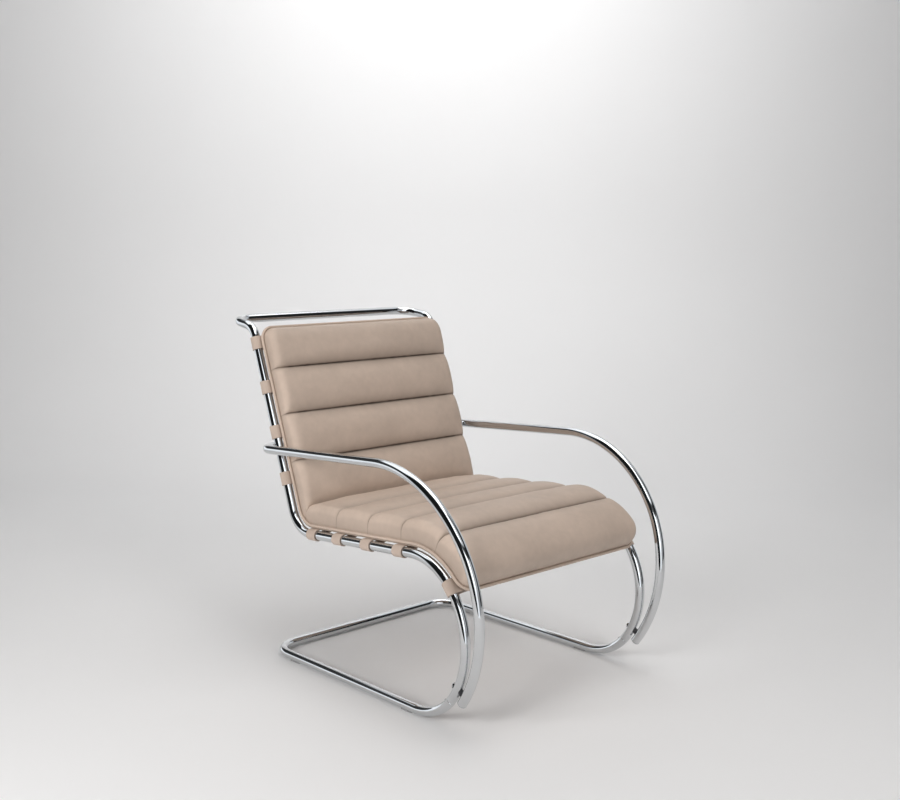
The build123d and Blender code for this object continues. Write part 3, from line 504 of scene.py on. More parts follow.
def cut_end(path, tube):
    """Add the chamfer and the cut wall at both ends of a path, and give each point its girth."""
    outer = tube.tube_diameter / 2
    steps = [
        (0.0, (outer - tube.tube_wall) / outer),
        (0.00002, (outer - tube.end_chamfer) / outer),
        (tube.end_chamfer, 1.0),
    ]
    into = (path[1] - path[0]).normalized()
    back = (path[-2] - path[-1]).normalized()
    first = [path[0] + into * at for at, _ in steps]
    last = [path[-1] + back * at for at, _ in reversed(steps)]
    shares = [size for _, size in steps]
    return [*first, *path[1:-1], *last], [*shares, *[1.0] * (len(path) - 2), *reversed(shares)]


# ---------------------------------------------------------------- shared shader effects
def shader_group(name, inputs, outputs):
    tree = bpy.data.node_groups.new(name, "ShaderNodeTree")
    for label, kind, default in inputs:
        socket(tree, label, kind, default)
    for label, kind in outputs:
        socket(tree, label, kind, out=True)
    return tree, add_node(tree, "NodeGroupInput", (0, 0)), add_node(tree, "NodeGroupOutput", (9, 0))


def math_node(tree, place, operation, first=None, second=None, clamp=False):
    node = add_node(tree, "ShaderNodeMath", place)
    node.operation = operation
    node.use_clamp = clamp
    for number, value in enumerate((first, second)):
        if value is None:
            continue
        if isinstance(value, (int, float)):
            node.inputs[number].default_value = value
        else:
            tree.links.new(value, node.inputs[number])
    return node.outputs[0]


def noise_node(tree, place, vector, scale, detail=3.0, roughness=0.55):
    node = add_node(tree, "ShaderNodeTexNoise", place, Detail=detail, Roughness=roughness)
    if isinstance(scale, (int, float)):
        node.inputs["Scale"].default_value = scale
    else:
        tree.links.new(scale, node.inputs["Scale"])
    tree.links.new(vector, node.inputs["Vector"])
    return node.outputs[0]


def leather_grain():
    """Pebbled grain with fine wrinkles and broad tone changes."""
    name = "Leather grain"
    if name in bpy.data.node_groups:
        return bpy.data.node_groups[name]
    tree, start, end = shader_group(
        name,
        [
            ("Vector", "NodeSocketVector", None),
            ("Grain Size", "NodeSocketFloat", 900.0),
            ("Wrinkle", "NodeSocketFloat", 0.3),
        ],
        [("Height", "NodeSocketFloat"), ("Tone", "NodeSocketFloat"), ("Gloss", "NodeSocketFloat")],
    )
    link = tree.links.new
    cells = add_node(tree, "ShaderNodeTexVoronoi", (2, 0), Randomness=0.9)
    cells.feature = "SMOOTH_F1"
    link(start.outputs["Vector"], cells.inputs["Vector"])
    link(start.outputs["Grain Size"], cells.inputs["Scale"])
    wide = math_node(tree, (1, 2), "MULTIPLY", start.outputs["Grain Size"], 0.16)
    folds = noise_node(tree, (2, 2), start.outputs["Vector"], wide, 4.0, 0.6)
    ridge = math_node(tree, (3, 2), "ABSOLUTE", math_node(tree, (3, 3), "SUBTRACT", folds, 0.5))
    crack = math_node(tree, (4, 2), "MULTIPLY", ridge, start.outputs["Wrinkle"])
    pebble = math_node(tree, (3, 0), "MULTIPLY", cells.outputs["Distance"], -0.5)
    height = math_node(tree, (5, 0), "ADD", pebble, crack)
    broad = noise_node(tree, (2, 4), start.outputs["Vector"], 7.0, 4.0, 0.55)
    small = noise_node(tree, (2, 5), start.outputs["Vector"], 60.0, 3.0, 0.5)
    mixed = math_node(tree, (4, 4), "ADD", math_node(tree, (3, 4), "MULTIPLY", broad, 0.7),
                      math_node(tree, (3, 5), "MULTIPLY", small, 0.3))
    gloss = math_node(tree, (4, 6), "ADD", math_node(tree, (3, 6), "MULTIPLY", broad, 0.5),
                      math_node(tree, (3, 7), "MULTIPLY", cells.outputs["Distance"], 0.5))
    link(height, end.inputs["Height"])
    link(mixed, end.inputs["Tone"])
    link(gloss, end.inputs["Gloss"])
    return tree


def handling_marks():
    """Faint smears and fine polishing lines on bright metal."""
    name = "Handling marks"
    if name in bpy.data.node_groups:
        return bpy.data.node_groups[name]
    tree, start, end = shader_group(
        name,
        [("Vector", "NodeSocketVector", None), ("Amount", "NodeSocketFloat", 1.0)],
        [("Smear", "NodeSocketFloat"), ("Height", "NodeSocketFloat")],
    )
    link = tree.links.new
    broad = noise_node(tree, (1, 0), start.outputs["Vector"], 9.0, 5.0, 0.6)
    fine = noise_node(tree, (1, 1), start.outputs["Vector"], 420.0, 2.0, 0.5)
    peaks = add_node(tree, "ShaderNodeMapRange", (2, 0))
    peaks.inputs["From Min"].default_value = 0.45
    peaks.inputs["From Max"].default_value = 0.75
    link(broad, peaks.inputs["Value"])
    smear = math_node(tree, (3, 0), "MULTIPLY", peaks.outputs["Result"], start.outputs["Amount"])
    link(smear, end.inputs["Smear"])
    link(math_node(tree, (3, 1), "MULTIPLY", fine, start.outputs["Amount"]), end.inputs["Height"])
    return tree


def new_material(name, **values):
    material = bpy.data.materials.new(name)
    material.use_nodes = True
    tree = material.node_tree
    shader = tree.nodes["Principled BSDF"]
    for label, value in values.items():
        shader.inputs[label.replace("_", " ")].default_value = value
    place = add_node(tree, "ShaderNodeTexCoord", (-6, 0)).outputs["Object"]
    return material, tree, shader, place


def group_node(tree, group, place, vector, **values):
    node = add_node(tree, "ShaderNodeGroup", place)
    node.node_tree = group
    tree.links.new(vector, node.inputs["Vector"])
    for label, value in values.items():
        node.inputs[label.replace("_", " ")].default_value = value
    return node


def add_bump(tree, shader, height, strength, distance):
    bump = add_node(tree, "ShaderNodeBump", (-1, 3), Strength=strength, Distance=distance)
    tree.links.new(height, bump.inputs["Height"])
    tree.links.new(bump.outputs["Normal"], shader.inputs["Normal"])


def map_range(tree, place, value, low, high, from_low=0.0, from_high=1.0):
    node = add_node(tree, "ShaderNodeMapRange", place)
    for label, number in (
        ("From Min", from_low), ("From Max", from_high), ("To Min", low), ("To Max", high)
    ):
        node.inputs[label].default_value = number
    tree.links.new(value, node.inputs["Value"])
    return node.outputs["Result"]


def blend_colours(tree, place, factor, first, second):
    node = add_node(tree, "ShaderNodeMix", place)
    node.data_type = "RGBA"
    tree.links.new(factor, node.inputs[0])
    for number, value in ((6, first), (7, second)):
        if isinstance(value, (tuple, list)):
            node.inputs[number].default_value = value
        else:
            tree.links.new(value, node.inputs[number])
    return node.outputs[2]


def shade(base, amount):
    return (*[min(1.0, c * amount) for c in base], 1.0)


def bright_metal(name, base, low, high, marks=1.0):
    material, tree, shader, place = new_material(name, Metallic=1.0, Roughness=low)
    group = group_node(tree, handling_marks(), (-4, 0), place, Amount=marks)
    rough = map_range(tree, (-2, 1), group.outputs["Smear"], low, high)
    tree.links.new(rough, shader.inputs["Roughness"])
    tone = blend_colours(tree, (-2, 0), group.outputs["Smear"], shade(base, 1.0), shade(base, 0.93))
    tree.links.new(tone, shader.inputs["Base Color"])
    add_bump(tree, shader, group.outputs["Height"], 0.02, 0.0002)
    return material


def leather(name, base, grain, wrinkle, low, high, strength, attribute=None, spread=0.12):
    """Leather with its grain in bump and roughness and tone changes in colour.
    The attribute paints shade into the pad's creases and along its sides, darkens the worn edges of
    the straps, and dulls both, so rubbed crests shine."""
    material, tree, shader, place = new_material(name, Roughness=high)
    shader.inputs["Specular IOR Level"].default_value = 0.30
    group = group_node(tree, leather_grain(), (-5, 0), place, Grain_Size=grain, Wrinkle=wrinkle)
    tone = map_range(tree, (-4, 1), group.outputs["Tone"], 0.0, 1.0, 0.3, 0.7)
    darker, lighter = shade(base, 1 - spread), shade(base, 1 + spread * 0.7)
    body = blend_colours(tree, (-3, 0), tone, darker, lighter)
    rough = map_range(tree, (-3, 2), group.outputs["Gloss"], low, high, 0.2, 0.7)
    if attribute:
        crease = add_node(tree, "ShaderNodeAttribute", (-5, 3))
        crease.attribute_name = attribute
        # Painted shade: where the attribute is high the colour goes dark, for the shade in the
        # pad's creases and along its sides; on the straps it darkens their worn edges.
        body = blend_colours(tree, (-2, 0), crease.outputs["Fac"], body, shade(base, 0.17))
        dulled = math_node(tree, (-3, 3), "MULTIPLY", crease.outputs["Fac"], 0.2)
        rough = math_node(tree, (-2, 2), "ADD", rough, dulled, clamp=True)
    tree.links.new(body, shader.inputs["Base Color"])
    tree.links.new(rough, shader.inputs["Roughness"])
    add_bump(tree, shader, group.outputs["Height"], strength, 0.0006)
    return material


def moulded_plastic(name, base):
    material, tree, shader, place = new_material(name, Roughness=0.5)
    speck = noise_node(tree, (-4, 0), place, 900.0, 2.0)
    broad = noise_node(tree, (-4, 2), place, 60.0, 3.0)
    tone = blend_colours(tree, (-2, 0), broad, shade(base, 0.8), shade(base, 1.3))
    tree.links.new(tone, shader.inputs["Base Color"])
    tree.links.new(map_range(tree, (-2, 1), broad, 0.42, 0.6), shader.inputs["Roughness"])
    add_bump(tree, shader, speck, 0.25, 0.0002)
    return material


def finish(slot_name):
    """The material of a slot of the record, made when it is first asked for.
    The frame holds plain materials under the slots' names, so these have names of their own."""
    name = slot_name + "_finish"
    if name in bpy.data.materials:
        return bpy.data.materials[name]
    tones = settings().finishes
    make, *values = {
        "polished_tube": (bright_metal, tones.chrome, 0.035, 0.10),
        "polished_fittings": (bright_metal, tones.chrome, 0.08, 0.18),
        "inner_steel": (bright_metal, INNER_STEEL, 0.28, 0.42),
        "rivet_metal": (bright_metal, RIVET_STEEL, 0.16, 0.30),
        "dark_spacers": (moulded_plastic, tones.dark),
        "glide_plastic": (moulded_plastic, tones.glide),
        "foam": (moulded_plastic, FOAM),
        "pad_leather": (leather, tones.leather, 950, 0.5, 0.46, 0.60, 0.35, "seam_shade"),
        "welt_leather": (leather, tones.leather, 1300, 0.3, 0.40, 0.55, 0.3),
        "strap_leather": (leather, tones.strap, 1100, 0.4, 0.42, 0.58, 0.35, "seam_shade", 0.08),
        "backing_leather": (leather, tones.backing, 1500, 0.8, 0.75, 0.9, 0.6),
    }[slot_name]
    return make(name, *values)


def dress(obj, slot_name, *nodes):
    """Give a finished piece its slot, its body and the nodes that it stands for."""
    if not obj.data.materials:
        obj.data.materials.append(finish(slot_name))
    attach(obj, "root")
    if nodes:
        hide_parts(*nodes)
    return obj


# ---------------------------------------------------------------- tubes
class CHAIR_OT_tubes(bpy.types.Operator):
    """Sweep the floor loop, the upper frame and the arm loop"""

    bl_idname = "chair.tubes"
    bl_label = "Bent tubes"

    def execute(self, context):
        tube, view = settings().tube, side_view()
        floor = trail_points(view.rail_rear, 0.0, view.base_moves)
        floor_side = [view.on_side(point) for point, _ in reversed(floor)]
        upper = trail_points(
            view.joint, view.joint_heading, view.curve_moves + view.seat_moves + view.back_moves
        )
        arm = trail_points(view.arm_foot, view.arm_heading, view.arm_moves)
        upper_side = [view.on_side(point) for point, _ in upper]
        arm_side = [view.on_arm(point) for point, _ in arm]
        for name, node, side, corner in (
            ("floor_loop_tube", "base_frame", floor_side, tube.base_corner),
            ("upper_frame_tube", "upper_frame", upper_side, tube.top_corner),
            ("arm_loop_tube", "arm_loop", arm_side, tube.arm_corner),
        ):
            path, girths = cut_end(to_middle(side, corner), tube)
            obj = swept_tube(name, path, girths, view.tube_r, tube.sides, finish("polished_tube"))
            dress(obj, "polished_tube", node)
        return {"FINISHED"}


class CHAIR_OT_fittings(bpy.types.Operator):
    """Give the spigots, bolts, screws, plugs, spacers and glides their finishes"""

    bl_idname = "chair.fittings"
    bl_label = "Fittings"

    def execute(self, context):
        slots = {part["node"]: part["material_slot"] for part in frame["record"]["subparts"]}
        for name, node in frame["nodes"].items():
            for held in node.material_slots:
                held.material = finish(slots[name])
        return {"FINISHED"}


# ---------------------------------------------------------------- straps
def rounded_band(thickness, width, rounding, steps=3):
    """The outline of a strap's section as (offset, across) points."""
    half_t, half_w = thickness / 2 - rounding, width / 2 - rounding
    outline = []
    for offset, across, start in (
        (half_t, half_w, 0), (-half_t, half_w, 90), (-half_t, -half_w, 180), (half_t, -half_w, 270)
    ):
        for number in range(steps + 1):
            a = math.radians(start + 90 * number / steps)
            outline.append((offset + rounding * math.cos(a), across + rounding * math.sin(a)))
    return outline


def strap_line(strap, view):
    """The middle line of a strap in its own plane, from one cut end to the other."""
    middle_r = view.tube_r + strap.tube_fit + strap.thickness / 2
    lap_height = middle_r - strap.thickness - settings().pad.layer_gap
    turn = strap.return_angle
    rise = lap_height + middle_r * math.cos(turn) - strap.lap_radius * (1 - math.cos(turn))
    moves = [
        run(view.half),
        bend(middle_r, -math.pi - turn),
        run(rise / math.sin(turn)),
        bend(strap.lap_radius, turn),
        run(strap.lap),
    ]
    half_line = trail_points(Vector((0, middle_r)), 0.0, moves, math.radians(6))
    places = []
    for point, heading in reversed(half_line):
        places.append((point, toward(heading - math.pi / 2)))
    for point, heading in half_line[1:]:
        normal = toward(heading - math.pi / 2)
        places.append((Vector((-point.x, point.y)), Vector((-normal.x, normal.y))))
    return places


def strap_places(view):
    """Name, middle and heading of each strap, with the front strap's own place on its curve."""
    tube, strap = settings().tube, settings().straps
    top = tube.back_run - strap.below_hook
    second = view.crossing_at + strap.above_arm
    found = {"seat_strap_1": None}
    for number, distance in enumerate(SEAT_STRAPS_AHEAD, start=2):
        point = view.seat_rear - toward(view.seat_heading) * distance
        found[f"seat_strap_{number}"] = (point, view.seat_heading)
    for number, distance in enumerate(
        (view.crossing_at - strap.below_arm, second, (second + top) / 2, top), start=1
    ):
        point = view.back_foot + toward(view.back_heading) * distance
        found[f"back_strap_{number}"] = (point, view.back_heading)
    return found


def strap_point(view, place, x, height, across):
    """A point of a strap: x over the width of the chair, height over the tube's centreline."""
    if place is None:
        radius = settings().tube.upper_radius
        heading = math.pi - settings().straps.nose_angle + across / radius
        spot = view.upper_centre - toward(heading + math.pi / 2) * (radius + height)
    else:
        point, heading = place
        spot = point + toward(heading - math.pi / 2) * height + toward(heading) * across
    return Vector((x, spot.x, spot.y))


class CHAIR_OT_straps(bpy.types.Operator):
    """Make the nine leather straps as rounded bands that lap under the pad, and their rivets"""

    bl_idname = "chair.straps"
    bl_label = "Straps"

    def execute(self, context):
        strap, view = settings().straps, side_view()
        section = rounded_band(strap.thickness, strap.width, strap.edge_round)
        line = strap_line(strap, view)
        count = len(section)
        heads = []
        for name, place in strap_places(view).items():
            points, edge_wear = [], []
            for spot, normal in line:
                for offset, across in section:
                    at = spot + normal * offset
                    points.append(strap_point(view, place, at.x, at.y, across))
                    near_edge = strap.width / 2 - abs(across)
                    edge_wear.append(max(0.0, 1 - near_edge / 0.0015) * 0.35)
            faces = []
            for ring in range(len(line) - 1):
                for number in range(count):
                    after = (number + 1) % count
                    a, b = ring * count, (ring + 1) * count
                    faces.append((a + number, a + after, b + after, b + number))
            faces.append(tuple(reversed(range(count))))
            faces.append(tuple(range((len(line) - 1) * count, len(line) * count)))
            obj = new_mesh(name + "_leather", points, faces)
            put_float(obj.data, "seam_shade", edge_wear)
            face_outwards(obj)
            dress(obj, "strap_leather", name)
            end = line[0][0]
            for side in (-1, 1):
                x = side * (abs(end.x) - strap.rivet_from_end)
                low = line[0][0].y - strap.thickness / 2
                root = strap_point(view, place, x, low, 0.0)
                tip = strap_point(view, place, x, low - 0.001, 0.0)
                heads.append((root, (tip - root).normalized()))
        rivets = new_mesh("strap_rivet_heads", [root for root, _ in heads])
        way = rivets.data.attributes.new("way", "FLOAT_VECTOR", "POINT")
        way.data.foreach_set("vector", np.array([w for _, w in heads], np.float32).ravel())
        use_tree(rivets, rivet_tree(), Radius=strap.rivet_head, Finish=finish("rivet_metal"))
        rivets.data.set_sharp_from_angle(angle=math.radians(40))
        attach(rivets, "root")
        return {"FINISHED"}


def rivet_tree():
    """Put a low domed head on every point, turned to the way stored there."""
    tree = bpy.data.node_groups.new("Rivet heads on points", "GeometryNodeTree")
    socket(tree, "Points", "NodeSocketGeometry")
    socket(tree, "Radius", "NodeSocketFloat", 0.0045)
    socket(tree, "Finish", "NodeSocketMaterial")
    socket(tree, "Rivets", "NodeSocketGeometry", out=True)
    start = add_node(tree, "NodeGroupInput", (0, 0))
    dome = add_node(tree, "GeometryNodeMeshUVSphere", (1, 1), Segments=20, Rings=10)
    flat = add_node(tree, "GeometryNodeTransform", (2, 1), Scale=(1, 1, 0.2))
    way = add_node(tree, "GeometryNodeInputNamedAttribute", (1, 2), Name="way")
    way.data_type = "FLOAT_VECTOR"
    turn = add_node(tree, "FunctionNodeAlignRotationToVector", (2, 2))
    turn.axis = "Z"
    place = add_node(tree, "GeometryNodeInstanceOnPoints", (3, 0))
    smooth = add_node(tree, "GeometryNodeSetShadeSmooth", (4, 0))
    real = add_node(tree, "GeometryNodeRealizeInstances", (5, 0))
    coat = add_node(tree, "GeometryNodeSetMaterial", (6, 0))
    end = add_node(tree, "NodeGroupOutput", (7, 0))
    link = tree.links.new
    link(start.outputs["Points"], place.inputs["Points"])
    link(start.outputs["Radius"], dome.inputs["Radius"])
    link(dome.outputs["Mesh"], flat.inputs["Geometry"])
    link(flat.outputs["Geometry"], place.inputs["Instance"])
    link(way.outputs["Attribute"], turn.inputs["Vector"])
    link(turn.outputs["Rotation"], place.inputs["Rotation"])
    link(place.outputs["Instances"], real.inputs["Geometry"])
    link(real.outputs["Geometry"], smooth.inputs["Geometry"])
    link(smooth.outputs["Geometry"], coat.inputs["Geometry"])
    link(start.outputs["Finish"], coat.inputs["Material"])
    link(coat.outputs["Geometry"], end.inputs["Rivets"])
    return tree


def face_outwards(obj):
    """Turn every face outwards and shade the piece smooth, with its sharp edges kept."""
    made = bmesh.new()
    made.from_mesh(obj.data)
    bmesh.ops.recalc_face_normals(made, faces=made.faces)
    for face in made.faces:
        face.smooth = True
    made.to_mesh(obj.data)
    made.free()
    obj.data.set_sharp_from_angle(angle=math.radians(50))


# ---------------------------------------------------------------- the pad
class Channel:
    """One roll of the pad: the line of its top, drawn over a stretch of the pad's line."""

    def __init__(
        self, view, start, end, valley, crest, open_start=False, open_end=False, fold=None
    ):
        self.view, self.start, self.end = view, start, end
        self.valley, self.crest = valley, crest
        self.open_start, self.open_end, self.fold = open_start, open_end, fold
        self.on_seat = valley == settings().pad.seat_valley
        self.round, self.lean = (0.36, 0.0) if self.on_seat else (0.55, 0.004)

    def rise(self, t, at_end=False):
        """Share of the height from seam to crest, at t from -1 to 1 over the roll.
        A roll is full over its middle, and round where its leather is gathered at its ends."""
        t = min(abs(t), 1.0)
        if at_end and not self.on_seat:
            return (1 - t * t) ** 0.42
        return self.round * (1 - t * t) + (1 - self.round) * math.sqrt(max(0.0, 1 - t**16))

    def spot(self, t, at_end=False):
        """(distance of the edge below, side-view point of the top) at t."""
        edge = settings().pad.edge
        distance = self.start + (self.end - self.start) * (t + 1) / 2
        free = (self.open_start and t < 0) or (self.open_end and t > 0)
        if free:
            height = edge + (self.crest - edge) * (1 - abs(t) ** SQUARENESS) ** (1 / SQUARENESS)
        else:
            height = self.valley + (self.crest - self.valley) * self.rise(t, at_end)
        if self.fold:
            origin, heading, low, high = self.fold
            along = low + (high - low) * (t + 1) / 2 + self.lean * (1 - self.rise(t)) ** 2
            top = origin + toward(heading) * along + toward(heading - math.pi / 2) * height
        else:
            shift = 0.0 if free else self.lean * (1 - self.rise(t)) ** 2
            top = self.view.over_pad(distance + shift, height)
        return distance, top

    def rows(self, shares):
        """Spots at shares of the arc length of the top."""
        ts = -np.cos(np.linspace(0, math.pi, 241))
        spots = [self.spot(float(t)) for t in ts]
        tops = np.array([s[1] for s in spots])
        ends = np.array([self.spot(float(t), True)[1] for t in ts])
        steps = np.hypot(*np.diff(tops, axis=0).T)
        travelled = np.concatenate([[0], np.cumsum(steps)])
        travelled /= travelled[-1]
        wanted = np.interp(shares, travelled, np.arange(len(ts)))
        distances = np.interp(wanted, np.arange(len(ts)), [s[0] for s in spots])
        made = [
            np.stack([np.interp(wanted, np.arange(len(ts)), line[:, k]) for k in (0, 1)], 1)
            for line in (tops, ends)
        ]
        return distances, *made


def channels(view):
    """The nine rolls from the nose to the top of the back."""
    pad = settings().pad
    seat_seams = [view.seat_to - ahead for ahead in SEAT_SEAMS_AHEAD]
    back_seams = [view.back_from + up for up in BACK_SEAMS_UP]
    seat_normal = toward(view.seat_heading - math.pi / 2)
    back_normal = toward(view.back_heading - math.pi / 2)
    over_seat = view.seat_rear + seat_normal * pad.seat_valley
    over_back = view.back_foot + back_normal * pad.back_valley
    to_crease = meeting(over_seat, view.seat_heading, over_back, view.back_heading)
    from_crease = meeting(over_back, view.back_heading, over_seat, view.seat_heading)
    last_run = view.seat_to - seat_seams[-1]
    seat_fold = (view.seat_rear, view.seat_heading, -last_run, to_crease)
    back_fold = (view.back_foot, view.back_heading, from_crease, back_seams[0] - view.back_from)
    seat, back = (pad.seat_valley, pad.seat_crest), (pad.back_valley, pad.back_crest)
    seat_starts = [view.nose_seam, *seat_seams[:-1]]
    return [
        Channel(view, 0.0, view.nose_seam, pad.seat_valley, pad.nose_crest, open_start=True),
        *[Channel(view, start, end, *seat) for start, end in zip(seat_starts, seat_seams)],
        Channel(view, seat_seams[-1], view.fold_at, *seat, fold=seat_fold),
        Channel(view, view.fold_at, back_seams[0], *back, fold=back_fold),
        *[Channel(view, start, end, *back) for start, end in zip(back_seams, back_seams[1:])],
        Channel(view, back_seams[-1], view.pad_length, *back, open_end=True),
    ]


def pad_columns(count):
    """Places across the pad, closer together at its drawn-in sides."""
    pad = settings().pad
    t = np.linspace(-1, 1, count)
    squeezed = np.sin(t * math.pi / 2)
    return pad.half_width * (0.45 * t + 0.55 * squeezed)


def pad_surface(view, shares, xs):
    """The top of the pad as a grid of points, with the row numbers of its seams."""
    pad = settings().pad
    half, corner, shoulder = pad.half_width, pad.corner, pad.shoulder
    inwards = np.clip((np.abs(xs) - half + shoulder) / shoulder, 0, 1)
    rise = (1 - inwards**SQUARENESS) ** (1 / SQUARENESS)
    crown = 1 + 0.04 * (1 - (xs / half) ** 2)
    height_share = (0.06 + 0.94 * rise) * crown
    recess = corner - np.sqrt(corner**2 - np.clip(np.abs(xs) - half + corner, 0, corner) ** 2)
    rows, seams, from_seam = [], [0], []
    for number, channel in enumerate(channels(view)):
        distances, tops, end_tops = channel.rows(shares)
        span = np.concatenate([[0], np.cumsum(np.hypot(*np.diff(tops, axis=0).T))])
        near = np.minimum(
            np.where(channel.open_start, 1.0, span),
            np.where(channel.open_end, 1.0, span[-1] - span),
        )
        skip = 1 if number else 0
        for distance, top, end_top, gap in list(zip(distances, tops, end_tops, near))[skip:]:
            rows.append((float(distance), top, end_top))
            from_seam.append(gap)
        seams.append(len(rows) - 1)
    grid = np.zeros((len(rows), len(xs), 3))
    grid[:, :, 0] = xs
    gather = np.clip((np.abs(xs) - half + 2.4 * shoulder) / (1.6 * shoulder), 0, 1)
    gather = gather * gather * (3 - 2 * gather)
    for row, (distance, top, end_top) in enumerate(rows):
        reach = 0.055
        ends = max(0.0, 1 - distance / reach), -max(0.0, 1 - (view.pad_length - distance) / reach)
        pull = sum(math.copysign(e * e * (3 - 2 * abs(e)), e) for e in ends)
        low = np.array(view.over_pad(distance, pad.edge))
        _, heading = along_trail(view.pad_start, view.nose_heading, view.pad_moves, distance)
        way = np.array(toward(heading))
        for column in range(len(xs)):
            full = top + (end_top - top) * gather[column]
            spot = low + (full - low) * height_share[column] + way * pull * recess[column]
            grid[row, column, 1:] = spot
    return grid, seams, np.array(from_seam), [row[0] for row in rows]


def close_pad(name, grid, distances, view):
    """A closed body under the grid: walls down to the base and a floor across it."""
    pad = settings().pad
    rows, columns = grid.shape[:2]
    points = [tuple(p) for p in grid.reshape(-1, 3)]

    def at(row, column):
        return row * columns + column

    faces = [
        (at(r, c), at(r, c + 1), at(r + 1, c + 1), at(r + 1, c))
        for r in range(rows - 1) for c in range(columns - 1)
    ]
    rim = [at(0, c) for c in range(columns)] + [at(r, columns - 1) for r in range(1, rows)]
    rim += [at(rows - 1, c) for c in range(columns - 2, -1, -1)]
    rim += [at(r, 0) for r in range(rows - 2, 0, -1)]
    feet = {}
    for index in rim:
        row = index // columns
        _, heading = along_trail(view.pad_start, view.nose_heading, view.pad_moves, distances[row])
        way = toward(heading)
        past = Vector(points[index][1:]) - view.over_pad(distances[row], pad.edge)
        spot = view.over_pad(distances[row], pad.base) + way * past.dot(way)
        feet[index] = len(points)
        points.append((points[index][0], spot.x, spot.y))
    for first, second in zip(rim, rim[1:] + rim[:1]):
        faces.append((second, first, feet[first], feet[second]))
    left = [feet[at(r, 0)] for r in range(rows)]
    right = [feet[at(r, columns - 1)] for r in range(rows)]
    for r in range(rows - 1):
        if r == 0:
            faces.append([feet[at(0, c)] for c in range(columns)][::-1] + [left[1], right[1]])
        elif r == rows - 2:
            faces.append([feet[at(rows - 1, c)] for c in range(columns)] + [right[r], left[r]])
        else:
            faces.append((left[r], left[r + 1], right[r + 1], right[r]))
    return new_mesh(name, points, faces)


def resample(values, old, new, axis):
    """Smooth cubic interpolation of evenly spaced values along one axis."""
    values = np.moveaxis(values, axis, 0)
    place = np.interp(new, old, np.arange(len(old)))
    low = np.clip(np.floor(place).astype(int), 0, len(old) - 2)
    f = (place - low).reshape(-1, *[1] * (values.ndim - 1))
    p0, p1, p2, p3 = (values[np.clip(low + shift, 0, len(old) - 1)] for shift in (-1, 0, 1, 2))
    cubic = 3 * (p1 - p2) + p3 - p0
    square = 2 * p0 - 5 * p1 + 4 * p2 - p3
    made = p1 + 0.5 * f * (p2 - p0 + f * (square + f * cubic))
    return np.moveaxis(made, 0, axis)


def inflate(view, shares, xs):
    """Blow up a coarse copy of the pad with its seams and rim held, and give back how it moved."""
    pad = settings().pad
    grid, seams, _, distances = pad_surface(view, shares, xs)
    obj = close_pad("pad_filling_trial", grid, distances, view)
    rows, columns = grid.shape[:2]
    held = obj.vertex_groups.new(name="held")
    fixed = [r * columns + c for r in seams for c in range(columns)]
    fixed += [r * columns + c for r in range(rows) for c in (0, columns - 1)]
    fixed += list(range(rows * columns, len(obj.data.vertices)))
    held.add(sorted(set(fixed)), 1.0, "REPLACE")
    cloth = obj.modifiers.new("Cloth", "CLOTH")
    use = cloth.settings
    use.quality = 6
    use.mass = 0.35
    use.tension_stiffness = use.compression_stiffness = 25
    use.shear_stiffness = 8
    use.bending_stiffness = 0.6
    use.use_pressure = True
    use.uniform_pressure_force = pad.pressure
    use.effector_weights.gravity = 0
    use.vertex_group_mass = "held"
    cloth.collision_settings.use_collision = False
    cloth.point_cache.frame_start, cloth.point_cache.frame_end = 1, CLOTH_FRAMES
    scene = bpy.context.scene
    for number in range(1, CLOTH_FRAMES + 1):
        scene.frame_set(number)
    depsgraph = bpy.context.evaluated_depsgraph_get()
    done = obj.evaluated_get(depsgraph).to_mesh()
    places = np.empty(len(done.vertices) * 3, np.float32)
    done.vertices.foreach_get("co", places)
    moved = places.reshape(-1, 3)[: rows * columns].reshape(rows, columns, 3) - grid
    obj.evaluated_get(depsgraph).to_mesh_clear()
    bpy.data.objects.remove(obj, do_unlink=True)
    scene.frame_set(1)
    for _ in range(3):
        calm = moved.copy()
        calm[1:-1] = 0.5 * moved[1:-1] + 0.25 * (moved[:-2] + moved[2:])
        calm[seams] = moved[seams]
        moved = calm.copy()
        moved[:, 1:-1] = 0.5 * calm[:, 1:-1] + 0.25 * (calm[:, :-2] + calm[:, 2:])
    far = np.linalg.norm(moved, axis=2, keepdims=True)
    return moved * np.minimum(1.0, pad.swell / np.maximum(far, 1e-9)), seams


